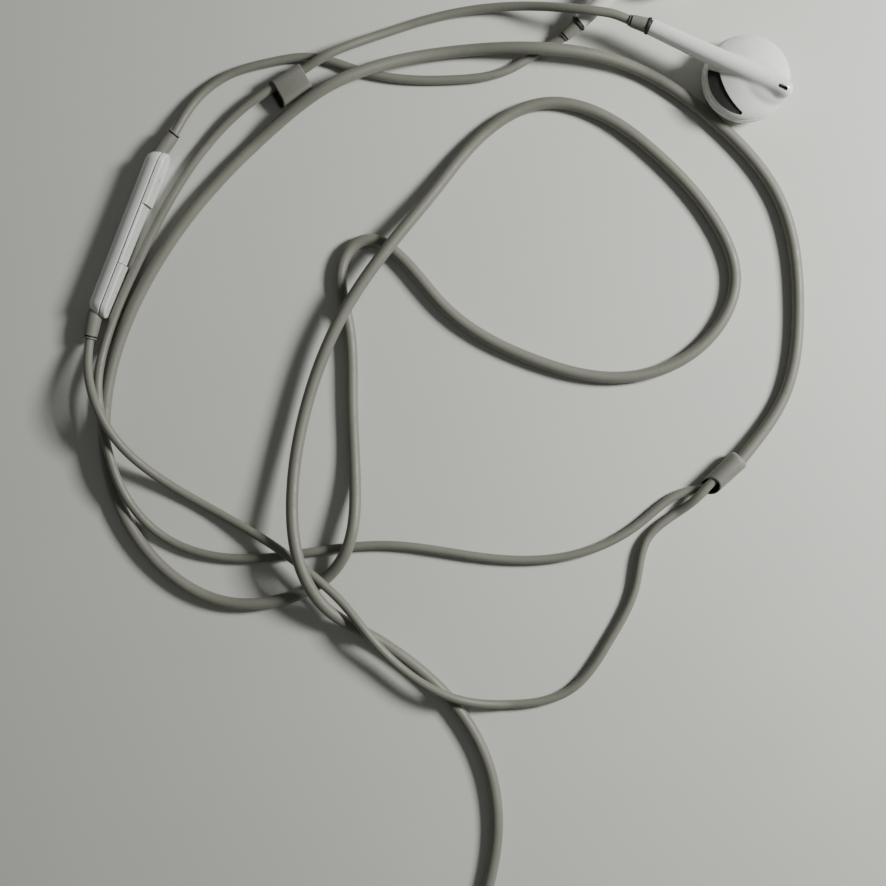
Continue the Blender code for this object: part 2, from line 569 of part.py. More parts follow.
def make_plug(finishes):
    """Strain relief and housing, then the pin: sleeve, two rings and tip, held apart by one insulator."""
    place = facing(PLUG_START, PLUG_DIRECTION)
    relief = [(0, 0.3), (1.5, 0.3), (1.8, 5.3), (0, 5.3)]
    turned("plug_strain_relief", relief, finishes["grey"], place)
    housing = [
        (0, 5.6), (2.1, 5.6), (2.6, 6.6),
        (2.6, PLUG_SHOULDER - 0.2), (2.4, PLUG_SHOULDER),
        (PIN_SOCKET, PLUG_SHOULDER), (PIN_SOCKET, PLUG_SHOULDER - PIN_ROOT), (0, PLUG_SHOULDER - PIN_ROOT),
    ]
    turned("plug_housing", housing, finishes["satin"], place)
    at = PLUG_SHOULDER + 0.3
    flange_radius = PIN_RADIUS - 0.03
    root = PLUG_SHOULDER - PIN_ROOT + 0.3
    core = [(0, root), (PIN_CORE, root)]
    for name, length in PIN_CONTACTS.items():
        ring = [(PIN_BORE, at), (PIN_RADIUS, at), (PIN_RADIUS, at + length), (PIN_BORE, at + length)]
        turned(name, ring, finishes["gold"], place)
        at += length + PIN_PLAY
        core += [(PIN_CORE, at), (flange_radius, at), (flange_radius, at + PIN_FLANGE)]
        at += PIN_FLANGE
        core.append((PIN_CORE, at))
        at += PIN_PLAY
    core[-1] = (0, at - PIN_PLAY)
    turned("plug_insulator", core, finishes["dark"], place)
    tip = [
        (0, 0), (PIN_RADIUS, 0), (PIN_RADIUS, 0.5), (1.2, 1.5), (1.2, 1.9),
        (1.72, 2.7), (1.3, 3.6), (0.5, 4.1), (0, 4.1),
    ]
    turned("plug_tip", [(radius, at + height) for radius, height in tip], finishes["gold"], place)


def main():
    for old in list(bpy.data.objects):
        bpy.data.objects.remove(old)
    finishes = {
        "gloss": make_finish("white_gloss_plastic", (0.86, 0.86, 0.84), 0.22),
        "satin": make_finish("white_satin_plastic", (0.84, 0.84, 0.82), 0.35),
        "grey": make_finish("grey_strain_relief", (0.28, 0.28, 0.26), 0.6),
        "cord": make_finish("grey_cord_jacket", (0.19, 0.19, 0.16), 0.55),
        "dark": make_finish("dark_plastic", (0.05, 0.05, 0.05), 0.5),
        "mesh": make_finish("black_mesh", (0.03, 0.03, 0.03), 0.6),
        "film": make_finish("diaphragm_film", (0.7, 0.65, 0.5), 0.4),
        "copper": make_finish("copper_wire", (0.72, 0.4, 0.25), 0.35, 1.0),
        "steel": make_finish("plated_steel", (0.6, 0.6, 0.6), 0.35, 1.0),
        "nickel": make_finish("nickel_plate", (0.7, 0.7, 0.68), 0.25, 1.0),
        "gold": make_finish("gold_plate", (0.95, 0.75, 0.4), 0.2, 1.0),
        "board": make_finish("green_board", (0.05, 0.2, 0.08), 0.5),
        "tie": make_finish("black_tie", (0.04, 0.04, 0.04), 0.7),
    }
    make_earpiece("left_", LEFT_HEAD, LEFT_HEADING, LEFT_TILT, LEFT_COLLAR_BEND, finishes)
    make_earpiece("right_", RIGHT_HEAD, RIGHT_HEADING, RIGHT_TILT, RIGHT_COLLAR_BEND, finishes)
    make_remote(finishes)
    make_split(finishes["cord"])
    make_slider(finishes["cord"])
    make_cables(finishes["cord"])
    make_coil(finishes["cord"], finishes["tie"])
    make_plug(finishes)


main()
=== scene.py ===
"""The finished look of the wired earphones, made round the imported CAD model.

Metres, in the CAD model's own frame. Profiles and outlines of single pieces are in millimetres on the piece's
own axes, and a matrix puts each piece in its place.
"""

import json
import math

import bmesh
import bpy
import numpy as np
from mathutils import Matrix, Vector

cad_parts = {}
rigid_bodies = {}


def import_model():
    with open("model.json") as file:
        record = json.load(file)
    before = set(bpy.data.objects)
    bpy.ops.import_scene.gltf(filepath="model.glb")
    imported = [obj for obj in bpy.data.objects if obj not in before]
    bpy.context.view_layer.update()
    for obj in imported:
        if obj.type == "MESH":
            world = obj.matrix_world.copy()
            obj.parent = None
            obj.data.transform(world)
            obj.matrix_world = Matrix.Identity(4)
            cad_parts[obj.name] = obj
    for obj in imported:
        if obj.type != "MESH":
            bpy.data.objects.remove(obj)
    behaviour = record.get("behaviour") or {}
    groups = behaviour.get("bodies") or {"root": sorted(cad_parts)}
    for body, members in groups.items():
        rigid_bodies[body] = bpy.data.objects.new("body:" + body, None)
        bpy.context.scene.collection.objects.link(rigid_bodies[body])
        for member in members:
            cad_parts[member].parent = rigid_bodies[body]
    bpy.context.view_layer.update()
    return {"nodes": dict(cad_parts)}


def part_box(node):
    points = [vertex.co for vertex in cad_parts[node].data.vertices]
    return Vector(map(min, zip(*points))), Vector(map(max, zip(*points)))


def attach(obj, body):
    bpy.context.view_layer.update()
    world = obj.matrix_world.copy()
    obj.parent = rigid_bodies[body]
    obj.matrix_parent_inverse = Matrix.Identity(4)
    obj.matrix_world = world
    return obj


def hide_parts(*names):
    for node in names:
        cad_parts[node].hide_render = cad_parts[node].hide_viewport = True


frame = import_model()

MM = 0.001

# Cord
MAIN_RADIUS = 1.15 * MM
BRANCH_RADIUS = 0.85 * MM
TABLE_GAP = 0.03 * MM
SPLINE_STEP = 0.5 * MM

# Earpieces
STEM_AXIS_HEIGHT = 7.2
STEM_END = 20.1
COLLAR_START = 20.4
COLLAR_LENGTH = 3.9
VENT = (-6.5, 0.33)
LEFT_HEAD = Vector((13.35, -12.05, 0.17)) * MM
LEFT_HEADING, LEFT_TILT, LEFT_COLLAR_BEND = 154.2, 2.5, 7.8  # degrees
RIGHT_HEAD = Vector((-1.3, 12.75, 1.25)) * MM
RIGHT_HEADING, RIGHT_TILT, RIGHT_COLLAR_BEND = 220.0, 15.4, 0.0
DOME = [(8.02, 3.9), (8.08, 4.5), (7.85, 5.02), (7.3, 5.57), (6.3, 6.17), (4.5, 6.92), (2.2, 7.62), (0, 7.8)]
SEAM_HEIGHT = 4.46
PLUG_IN_RADIUS, RIM_FOOT = 7.05, 3.85  # the step of the rear shell that stands inside the front cap
RIDGE_CENTRE, RIDGE_HALF_AXES = (-2.2, 0, 5.3), (6.3, 4.2, 2.9)  # fills the dome in under the stem
PORT_RADIUS = 7.4  # outer edge of the crescent-shaped port in the dome's flank
PORT_AXIS = math.radians(47)
PORT_INNER_CENTRE, PORT_INNER_RADIUS = -6.9, 12.0
PORT_SIDE = 2.0  # the port's straight end, beside the stem
PORT_TIP = math.radians(106)
PORT_FLOOR = 4.95
PORT_SCREEN_DEPTHS = (0.3, 0.5)
CUTTER_TOP = 10
SHELL_VOXEL = 0.2 * MM
SHELL_SMOOTHING = 36

# Remote
REMOTE_SEAM = Vector((-101.94, -40.87, 2.53)) * MM
REMOTE_AXIS = Vector((0.3638, 0.9315, 0)).normalized()
REMOTE_HALF_LENGTH, REMOTE_HALF_WIDTH, REMOTE_DEPTH, REMOTE_WALL = 16.6, 2.5, 2.65, 0.7
BACK_ROUNDING, BACK_POWER = 2.3, 2.0
HOLLOW_ROUNDING, HOLLOW_POWER = 1.3, 2.5
KEY_BASE, KEY_TOP, PLAY_KEY_TOP = 0.21, 1.25, 0.75
KEY_JOINT_SHARE = 0.3  # how much of its inset a key's edge draws in by where it meets the next key
REMOTE_COLLAR_ROOT = 1.2
KEYS = {
    "volume_up_key": ("volume_up_button", (6.08, 16.6)),
    "play_key": ("play_button", (-5.82, 6.0)),
    "volume_down_key": ("volume_down_button", (-16.6, -5.9)),
}

# Y-split, cord slider, coil, tie and plug
SPLIT_UPPER = Vector((12.55, -82.91, 2.2)) * MM
SPLIT_LOWER = Vector((6.90, -88.18, 2.2)) * MM
SPLIT_FLATNESS = 0.86  # the sleeve's width over its height
SPLIT_SLANT = 0.7  # the mouth leans back at its top, so its inside, painted as shade, shows from above
SLIDER_BACK = (-0.0758, -0.0133, 0.0020)
SLIDER_FRONT = (-0.0696, -0.0098, 0.0023)
SLIDER_LENGTH, SLIDER_WIDTH, SLIDER_THICKNESS, SLIDER_WALL = 6.8, 5.9, 3.1, 0.4
SLIDER_OFFSET = 1.6 * MM
SLIDER_SLANT = 0.55  # the mouth at its back leans the same way
COIL_CENTRE = Vector((-49.4, -183.05, 0)) * MM
COIL_RADIUS = 13.0 * MM
COIL_START_HEIGHT, COIL_PITCH, COIL_TURNS = 1.95 * MM, 2.45 * MM, 2
COIL_POINTS_PER_TURN = 16
PLUG_START = Vector((-53.4, -207.1, 2.65)) * MM
PLUG_DIRECTION = Vector((-1, 0, 0))
PLUG_SHOULDER = 20.6
PIN_RADIUS, PIN_BORE, PIN_CORE = 1.75, 1.1, 0.9
PIN_FLANGE, PIN_PLAY = 0.6, 0.06
PIN_CONTACTS = {"plug_sleeve_contact": 3.4, "plug_ring_2": 2.0, "plug_ring_1": 2.0}

# Camera and lamp
CAMERA_PLACE = (-0.0434, -0.08005, 0.235)
CAMERA_LENS = 50.256
LAMP_PLACE, LAMP_AIM = (0.26, 0.02, 0.22), (-0.04, -0.08, 0.0)
LAMP_SIZE, LAMP_POWER = 0.09, 2.3

# Routes of the cord's centre line, in metres, as the CAD model has them. Inside the Y-split, add_cords takes
# over the ends of the two branches with points of its own.
MAIN_ROUTE = [
    (0.0131, -0.0827, 0.0022), (0.0209, -0.0715, 0.0012), (0.0237, -0.0540, 0.0012),
    (0.0201, -0.0339, 0.0012), (0.0076, -0.0189, 0.0012), (-0.0081, -0.0089, 0.0015),
    (-0.0241, -0.0062, 0.0035), (-0.0411, -0.0062, 0.0016), (-0.0567, -0.0098, 0.0035),
    (-0.0650, -0.0136, 0.0043), (-0.0702, -0.0168, 0.0033), (-0.0784, -0.0232, 0.0013),
    (-0.0865, -0.0313, 0.0012), (-0.0986, -0.0479, 0.0012), (-0.1067, -0.0691, 0.0012),
    (-0.1064, -0.0861, 0.0012), (-0.0973, -0.1027, 0.0012), (-0.0846, -0.1101, 0.0012),
    (-0.0733, -0.1095, 0.0012), (-0.0661, -0.1061, 0.0013), (-0.0613, -0.0997, 0.0035),
    (-0.0600, -0.0870, 0.0019), (-0.0606, -0.0719, 0.0012), (-0.0614, -0.0570, 0.0012),
    (-0.0625, -0.0468, 0.0012), (-0.0598, -0.0424, 0.0012), (-0.0563, -0.0417, 0.0012),
    (-0.0534, -0.0432, 0.0012), (-0.0432, -0.0542, 0.0012), (-0.0260, -0.0644, 0.0012),
    (-0.0090, -0.0676, 0.0012), (0.0058, -0.0613, 0.0012), (0.0118, -0.0492, 0.0012),
    (0.0080, -0.0381, 0.0012), (-0.0033, -0.0252, 0.0012), (-0.0137, -0.0179, 0.0012),
    (-0.0241, -0.0158, 0.0012), (-0.0355, -0.0214, 0.0012), (-0.0449, -0.0325, 0.0024),
    (-0.0537, -0.0436, 0.0041), (-0.0621, -0.0560, 0.0041), (-0.0694, -0.0748, 0.0034),
    (-0.0715, -0.0907, 0.0048), (-0.0697, -0.1032, 0.0061), (-0.0647, -0.1115, 0.0036),
    (-0.0579, -0.1160, 0.0016), (-0.0430, -0.1275, 0.0012), (-0.0356, -0.1390, 0.0012),
    (-0.0332, -0.1532, 0.0012), (-0.0349, -0.1638, 0.0012), (-0.0362, -0.1693, 0.0014),
    (-0.0364, -0.1740, 0.0017),
]
LEFT_ROUTE = [
    (0.0064, -0.0883, 0.0013), (0.0032, -0.0891, 0.0009), (-0.0061, -0.0952, 0.0009),
    (-0.0213, -0.1017, 0.0009), (-0.0364, -0.1016, 0.0009), (-0.0534, -0.0994, 0.0009),
    (-0.0686, -0.1007, 0.0009), (-0.0837, -0.1018, 0.0009), (-0.0969, -0.0973, 0.0011),
    (-0.1040, -0.0877, 0.0035), (-0.1070, -0.0772, 0.0036), (-0.1080, -0.0698, 0.0035),
    (-0.1073, -0.0625, 0.0022), (-0.1026, -0.0492, 0.0009), (-0.0951, -0.0341, 0.0009),
    (-0.0877, -0.0233, 0.0009), (-0.0811, -0.0169, 0.0016), SLIDER_BACK,
    SLIDER_FRONT, (-0.0668, -0.0082, 0.0030), (-0.0562, -0.0033, 0.0016),
    (-0.0421, 0.0011, 0.0010), (-0.0280, 0.0018, 0.0033), (-0.0148, -0.0003, 0.0066),
    (-0.0118, -0.0008, 0.0065), (-0.0093, -0.0017, 0.0063),
]
RIGHT_LOWER_ROUTE = [
    (0.0068, -0.0886, 0.0033), (0.0044, -0.0903, 0.0026), (0.0007, -0.0934, 0.0009),
    (-0.0046, -0.0980, 0.0009), (-0.0069, -0.1069, 0.0009), (-0.0118, -0.1173, 0.0009),
    (-0.0194, -0.1268, 0.0009), (-0.0307, -0.1295, 0.0009), (-0.0421, -0.1276, 0.0035),
    (-0.0526, -0.1210, 0.0036), (-0.0578, -0.1153, 0.0044), (-0.0621, -0.1101, 0.0038),
    (-0.0664, -0.1060, 0.0037), (-0.0732, -0.1007, 0.0030), (-0.0875, -0.0924, 0.0009),
    (-0.0981, -0.0857, 0.0024), (-0.1046, -0.0788, 0.0055), (-0.1078, -0.0726, 0.0060),
    (-0.1096, -0.0664, 0.0044), (-0.1098, -0.0605, 0.0025),
]
RIGHT_UPPER_ROUTE = [
    (-0.0938, -0.0217, 0.0025), (-0.0899, -0.0151, 0.0013), (-0.0837, -0.0103, 0.0009),
    (-0.0761, -0.0080, 0.0009), (-0.0678, -0.0071, 0.0009), (-0.0601, -0.0093, 0.0009),
    (-0.0515, -0.0111, 0.0009), (-0.0421, -0.0113, 0.0009), (-0.0307, -0.0093, 0.0009),
    (-0.0239, -0.0052, 0.0009), (-0.0209, -0.0037, 0.0017),
]
TAIL_ROUTE = [
    (-0.0368, -0.1925, 0.0061), (-0.0388, -0.1992, 0.0046), (-0.0434, -0.2045, 0.0034),
    (-0.0486, -0.2067, 0.0028), (-0.0534, -0.2071, 0.0026),
]


# Materials
def graph(name):
    """A new node material: its node tree, its Principled shader and the object's own coordinates."""
    finish = bpy.data.materials.new(name)
    finish.use_nodes = True
    tree = finish.node_tree
    shader = tree.nodes["Principled BSDF"]
    place = tree.nodes.new("ShaderNodeTexCoord").outputs["Object"]
    return finish, tree, shader, place


def noise(tree, place, scale, detail=3.0, roughness=0.55):
    """Noise of a number of waves per metre."""
    node = tree.nodes.new("ShaderNodeTexNoise")
    node.inputs["Scale"].default_value = scale
    node.inputs["Detail"].default_value = detail
    node.inputs["Roughness"].default_value = roughness
    tree.links.new(place, node.inputs["Vector"])
    return node.outputs["Fac"]


def remap(tree, value, low, high, to_low, to_high):
    node = tree.nodes.new("ShaderNodeMapRange")
    node.inputs["From Min"].default_value = low
    node.inputs["From Max"].default_value = high
    node.inputs["To Min"].default_value = to_low
    node.inputs["To Max"].default_value = to_high
    tree.links.new(value, node.inputs["Value"])
    return node.outputs["Result"]


def mix_colours(tree, factor, first, second):
    """Each colour is an (r, g, b) tuple or a socket."""
    node = tree.nodes.new("ShaderNodeMix")
    node.data_type = "RGBA"
    tree.links.new(factor, node.inputs["Factor"])
    for socket, colour in ((node.inputs[6], first), (node.inputs[7], second)):
        if isinstance(colour, tuple):
            socket.default_value = (*colour, 1)
        else:
            tree.links.new(colour, socket)
    return node.outputs[2]


def add_bump(tree, shader, height, distance, strength=1.0):
    """Bump of a height in metres, over any bump that the shader already has."""
    node = tree.nodes.new("ShaderNodeBump")
    node.inputs["Distance"].default_value = distance
    node.inputs["Strength"].default_value = strength
    tree.links.new(height, node.inputs["Height"])
    if shader.inputs["Normal"].links:
        tree.links.new(shader.inputs["Normal"].links[0].from_socket, node.inputs["Normal"])
    tree.links.new(node.outputs["Normal"], shader.inputs["Normal"])


def scaled(colour, share):
    return tuple(channel * share for channel in colour)


def plastic(name, colour, roughness, coat=0.0, grain=0.004, dirt=0.12):
    """Moulded plastic: a little uneven gloss, faint handling marks and a fine moulded grain."""
    finish, tree, shader, place = graph(name)
    smudge = remap(tree, noise(tree, place, 160), 0.35, 0.7, 0, 1)
    speck = remap(tree, noise(tree, place, 2400, 2), 0.62, 0.78, 0, 1)
    clean = mix_colours(tree, smudge, colour, scaled(colour, 1 - dirt))
    specked = mix_colours(tree, speck, clean, scaled(colour, 1 - 1.6 * dirt))
    tree.links.new(specked, shader.inputs["Base Color"])
    gloss = remap(tree, noise(tree, place, 420, 4), 0.3, 0.7, roughness - 0.05, roughness + 0.1)
    tree.links.new(gloss, shader.inputs["Roughness"])
    shader.inputs["Coat Weight"].default_value = coat
    shader.inputs["Coat Roughness"].default_value = 0.12
    add_bump(tree, shader, noise(tree, place, 5200, 3), grain * MM)
    return finish


def elastomer(name, colour, light, roughness, grain=0.012):
    """Soft grey jacket: mottled by handling, with a fine matt grain and a soft sheen."""
    finish, tree, shader, place = graph(name)
    mottle = remap(tree, noise(tree, place, 90, 4), 0.3, 0.7, 0, 1)
    fine = remap(tree, noise(tree, place, 1900, 3, 0.7), 0.35, 0.75, 0, 1)
    body = mix_colours(tree, mottle, colour, light)
    grime = noise(tree, place, 700, 4)
    marked = mix_colours(tree, remap(tree, grime, 0.6, 0.78, 0, 0.55), body, scaled(colour, 0.62))
    grained = mix_colours(tree, remap(tree, fine, 0, 1, 0, 0.3), marked, scaled(light, 1.12))
    tree.links.new(grained, shader.inputs["Base Color"])
    gloss = remap(tree, grime, 0.3, 0.7, roughness - 0.06, roughness + 0.1)
    tree.links.new(gloss, shader.inputs["Roughness"])
    shader.inputs["Sheen Weight"].default_value = 0.15
    shader.inputs["Sheen Roughness"].default_value = 0.4
    add_bump(tree, shader, noise(tree, place, 3600, 4, 0.65), grain * MM)
    return finish


def metal(name, colour, roughness, turned_grain=True):
    """Plated metal with fine turning marks and a little tarnish."""
    finish, tree, shader, place = graph(name)
    tarnish = remap(tree, noise(tree, place, 600, 4), 0.4, 0.75, 0, 1)
    tree.links.new(mix_colours(tree, tarnish, colour, scaled(colour, 0.72)), shader.inputs["Base Color"])
    tree.links.new(remap(tree, tarnish, 0, 1, roughness, roughness + 0.14), shader.inputs["Roughness"])
    shader.inputs["Metallic"].default_value = 1.0
    if turned_grain:
        stretch = tree.nodes.new("ShaderNodeMapping")
        stretch.inputs["Scale"].default_value = (0.02, 0.02, 1)
        tree.links.new(place, stretch.inputs["Vector"])
        add_bump(tree, shader, noise(tree, stretch.outputs["Vector"], 9000, 2), 0.003 * MM)
    else:
        add_bump(tree, shader, noise(tree, place, 3000, 3), 0.003 * MM)
    return finish


def woven_screen(name, colour, pitch):
    """Fine wire cloth: two crossing sets of round wires, with the gaps between them darkened as painted
    shade.
    """
    finish, tree, shader, place = graph(name)
    waves = []
    for direction in ("X", "Y"):
        wave = tree.nodes.new("ShaderNodeTexWave")
        wave.bands_direction = direction
        wave.inputs["Scale"].default_value = math.tau / (20 * pitch * MM)
        tree.links.new(place, wave.inputs["Vector"])
        waves.append(wave.outputs["Fac"])
    crossing = tree.nodes.new("ShaderNodeMath")
    crossing.operation = "MAXIMUM"
    for socket, wave in zip(crossing.inputs, waves):
        tree.links.new(wave, socket)
    wires = crossing.outputs["Value"]
    worn = remap(tree, noise(tree, place, 900, 3), 0.3, 0.8, 0.7, 1)
    # The gaps between the wires are painted shade.
    dark = mix_colours(tree, remap(tree, wires, 0.55, 0.9, 0, 1), scaled(colour, 0.1), colour)
    tree.links.new(mix_colours(tree, worn, scaled(colour, 0.3), dark), shader.inputs["Base Color"])
    tree.links.new(remap(tree, wires, 0, 1, 0.85, 0.45), shader.inputs["Roughness"])
    shader.inputs["Metallic"].default_value = 0.2
    add_bump(tree, shader, wires, 0.05 * MM)
    return finish


def circuit_board(name):
    """Green solder mask over copper tracks."""
    finish, tree, shader, place = graph(name)
    track = tree.nodes.new("ShaderNodeTexBrick")
    track.inputs["Scale"].default_value = 420
    track.inputs["Color1"].default_value = (0.03, 0.16, 0.07, 1)
    track.inputs["Color2"].default_value = (0.04, 0.2, 0.08, 1)
    track.inputs["Mortar"].default_value = (0.1, 0.36, 0.16, 1)
    tree.links.new(place, track.inputs["Vector"])
    tree.links.new(track.outputs["Color"], shader.inputs["Base Color"])
    tree.links.new(remap(tree, noise(tree, place, 500), 0.3, 0.7, 0.3, 0.5), shader.inputs["Roughness"])
    add_bump(tree, shader, track.outputs["Fac"], 0.03 * MM)
    return finish


def hook_tape(name, colour):
    """Woven black tape with a short looped pile."""
    finish, tree, shader, place = graph(name)
    loops = tree.nodes.new("ShaderNodeTexVoronoi")
    loops.inputs["Scale"].default_value = 2600
    tree.links.new(place, loops.inputs["Vector"])
    distance = loops.outputs["Distance"]
    # Each loop of pile is painted lighter at its top and darker at its foot: painted light and shade.
    lit = remap(tree, distance, 0.1, 0.7, 1, 0)
    pile = mix_colours(tree, lit, scaled(colour, 0.4), scaled(colour, 1.5))
    tree.links.new(pile, shader.inputs["Base Color"])
    gloss = remap(tree, noise(tree, place, 1200), 0.3, 0.7, 0.8, 0.95)
    tree.links.new(gloss, shader.inputs["Roughness"])
    shader.inputs["Sheen Weight"].default_value = 0.5
    add_bump(tree, shader, lit, 0.08 * MM)
    return finish


def table_top(name, colour):
    """A pale painted table with the faintest unevenness."""
    finish, tree, shader, place = graph(name)
    patch = remap(tree, noise(tree, place, 14, 3), 0.3, 0.7, 0, 1)
    tree.links.new(mix_colours(tree, patch, colour, scaled(colour, 0.965)), shader.inputs["Base Color"])
    tree.links.new(remap(tree, noise(tree, place, 60, 3), 0.3, 0.7, 0.45, 0.6), shader.inputs["Roughness"])
    add_bump(tree, shader, noise(tree, place, 1500, 3), 0.004 * MM)
    return finish


GLOSS = plastic("gloss_shell", (0.80, 0.80, 0.775), 0.24, coat=0.35, dirt=0.06)
SATIN = plastic("satin_shell", (0.80, 0.80, 0.775), 0.28, coat=0.2, grain=0.008, dirt=0.08)
MARKS = plastic("key_mark", (0.42, 0.42, 0.41), 0.4)
DARK = plastic("dark_plastic", (0.035, 0.035, 0.033), 0.5)
INSULATOR = plastic("pin_insulator", (0.02, 0.02, 0.02), 0.35)
JACKET = elastomer("cord_jacket", (0.165, 0.165, 0.135), (0.195, 0.195, 0.165), 0.5)
RELIEF = elastomer("strain_relief", (0.18, 0.18, 0.152), (0.21, 0.21, 0.182), 0.55)
# Near-black faces in the collars' rings, the Y-split's mouth and the slider's inside: painted shade.
PAINTED_SHADE = plastic("painted_shade_dark", (0.012, 0.012, 0.011), 0.55, grain=0.01)
SCREEN = woven_screen("acoustic_screen", (0.05, 0.05, 0.045), 0.09)
GOLD = metal("gold_plate", (0.95, 0.72, 0.36), 0.2)
STEEL = metal("zinc_steel", (0.62, 0.62, 0.61), 0.32, turned_grain=False)
NICKEL = metal("nickel_plate", (0.72, 0.71, 0.68), 0.24, turned_grain=False)
COPPER = metal("enamelled_copper", (0.75, 0.36, 0.19), 0.3, turned_grain=False)
FILM = plastic("diaphragm_film", (0.62, 0.56, 0.4), 0.35, coat=0.4)
BOARD = circuit_board("circuit_board")
TAPE = hook_tape("hook_tape", (0.03, 0.03, 0.03))
TABLE = table_top("pale_table", (0.62, 0.632, 0.585))


# Meshes
def add_piece(name, mesh, finish, body="earphones", place=None, replaces=(), sharp=38):
    """Turns a bmesh in millimetres into a smooth-shaded piece that rides on a body."""
    bmesh.ops.scale(mesh, vec=(MM, MM, MM), verts=mesh.verts)
    bmesh.ops.recalc_face_normals(mesh, faces=mesh.faces)
    data = bpy.data.meshes.new(name)
    mesh.to_mesh(data)
    mesh.free()
    return add_data(name, data, finish, body, place, replaces, sharp)


def add_data(name, data, finish, body, place, replaces, sharp=38):
    for each in finish if isinstance(finish, list) else [finish]:
        data.materials.append(each)
    data.shade_smooth()
    data.set_sharp_from_angle(angle=math.radians(sharp))
    obj = bpy.data.objects.new(name, data)
    obj.matrix_world = place or Matrix.Identity(4)
    bpy.context.scene.collection.objects.link(obj)
    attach(obj, body)
    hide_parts(*replaces)
    return obj


def lathe(profile, steps=96, second_finish=()):
    """A bmesh turned about Z. Stretches of the profile whose number is in second_finish take finish 1."""
    mesh = bmesh.new()
    rings = []
    for radius, height in profile:
        ring = []
        for i in range(steps if radius > 0 else 1):
            angle = math.tau * i / steps
            ring.append(mesh.verts.new((radius * math.cos(angle), radius * math.sin(angle), height)))
        rings.append(ring)
    for number, (lower, upper) in enumerate(zip(rings, rings[1:] + rings[:1])):
        for i in range(steps):
            j = (i + 1) % steps
            corners = [lower[i % len(lower)], lower[j % len(lower)]]
            corners += [upper[j % len(upper)], upper[i % len(upper)]]
            corners = list(dict.fromkeys(corners))
            if len(corners) > 2:
                mesh.faces.new(corners).material_index = int(number in second_finish)
    return mesh


def loft(sections):
    """A closed bmesh through outlines of the same number of (x, y) points, each at its own height."""
    mesh = bmesh.new()
    rings = [[mesh.verts.new((x, y, height)) for x, y in outline] for outline, height in sections]
    for lower, upper in zip(rings, rings[1:]):
        for i in range(len(lower)):
            j = (i + 1) % len(lower)
            mesh.faces.new((lower[i], lower[j], upper[j], upper[i]))
    mesh.faces.new(rings[0])
    mesh.faces.new(rings[-1])
    return mesh


def ring_loft(sections, second_finish=()):
    """A closed bmesh through outlines that run once round and back to the first, like a hollow bar's."""
    mesh = bmesh.new()
    rings = [[mesh.verts.new((x, y, height)) for x, y in outline] for outline, height in sections]
    for number, (lower, upper) in enumerate(zip(rings, rings[1:] + rings[:1])):
        for i in range(len(lower)):
            j = (i + 1) % len(lower)
            face = mesh.faces.new((lower[i], lower[j], upper[j], upper[i]))
            face.material_index = int(number in second_finish)
    return mesh


def facing(start, direction):
    """A place whose local Z points along a direction."""
    turn = Vector(direction).to_track_quat("Z", "Y").to_matrix().to_4x4()
    return Matrix.Translation(start) @ turn


def stadium(half_length, half_width, inset=0.0, arc_steps=24):
    """A slot-shaped outline about the origin, long along X."""
    radius = half_width - inset
    centre = half_length - half_width
    points = []
    for side in (1, -1):
        for i in range(arc_steps + 1):
            angle = math.pi * (i / arc_steps - 0.5)
            points.append((side * (centre + radius * math.cos(angle)), side * radius * math.sin(angle)))
    return points


def smooth_route(points, step=SPLINE_STEP):
    """A natural cubic spline through given points, read at even steps."""
    points = np.array(points, float)
    knots = np.concatenate([[0], np.cumsum(np.linalg.norm(np.diff(points, axis=0), axis=1))])
    gaps = np.diff(knots)
    count = len(knots)
    matrix = np.eye(count)
    right = np.zeros((count, 3))
    for i in range(1, count - 1):
        matrix[i, i - 1 : i + 2] = gaps[i - 1], 2 * (gaps[i - 1] + gaps[i]), gaps[i]
        right[i] = 6 * ((points[i + 1] - points[i]) / gaps[i] - (points[i] - points[i - 1]) / gaps[i - 1])
    bends = np.linalg.solve(matrix, right)
    along = np.append(np.arange(0, knots[-1], step), knots[-1])
    piece = np.clip(np.searchsorted(knots, along, side="right") - 1, 0, count - 2)
    gap = gaps[piece][:, None]
    before = (along - knots[piece])[:, None]
    after = (knots[piece + 1] - along)[:, None]
    cubic = (bends[piece] * after**3 + bends[piece + 1] * before**3) / (6 * gap)
    first = (points[piece] / gap - bends[piece] * gap / 6) * after
    last = (points[piece + 1] / gap - bends[piece + 1] * gap / 6) * before
    return cubic + first + last


def smooth_profile(points, step=0.25):
    """A smooth profile through (radius, height) points."""
    route = smooth_route([(x, z, 0) for x, z in points], step)
    return [(max(float(x), 0.0), float(z)) for x, z, _ in route]


def round_edge(corner_radius, corner_height, size, start, end, count=6):
    """Points of a quarter arc of a profile about a centre, from one angle to another in degrees."""
    points = []
    for i in range(count + 1):
        angle = math.radians(start + (end - start) * i / count)
        points.append((corner_radius + size * math.cos(angle), corner_height + size * math.sin(angle)))
    return points


# Camera, light and table
def add_camera():
    """Straight above the table, as high as a hand-held phone, square to it."""
    camera = bpy.data.objects.new("camera", bpy.data.cameras.new("camera"))
    camera.data.sensor_width = 36
    camera.data.lens = CAMERA_LENS
    camera.data.clip_start = 0.01
    camera.location = CAMERA_PLACE
    bpy.context.scene.collection.objects.link(camera)
    bpy.context.scene.camera = camera


def add_light():
    """One soft lamp low on the right and pale room light."""
    light = bpy.data.lights.new("lamp", "AREA")
    light.size = LAMP_SIZE
    light.energy = LAMP_POWER
    light.color = (1.0, 0.998, 0.98)
    lamp = bpy.data.objects.new("lamp", light)
    aim = Vector(LAMP_AIM) - Vector(LAMP_PLACE)
    lamp.matrix_world = Matrix.Translation(LAMP_PLACE) @ aim.to_track_quat("-Z", "Y").to_matrix().to_4x4()
    bpy.context.scene.collection.objects.link(lamp)
    world = bpy.data.worlds.new("room")
    world.use_nodes = True
    background = world.node_tree.nodes["Background"]
    background.inputs["Color"].default_value = (0.93, 0.95, 0.92, 1)
    background.inputs["Strength"].default_value = 0.12
    bpy.context.scene.world = world


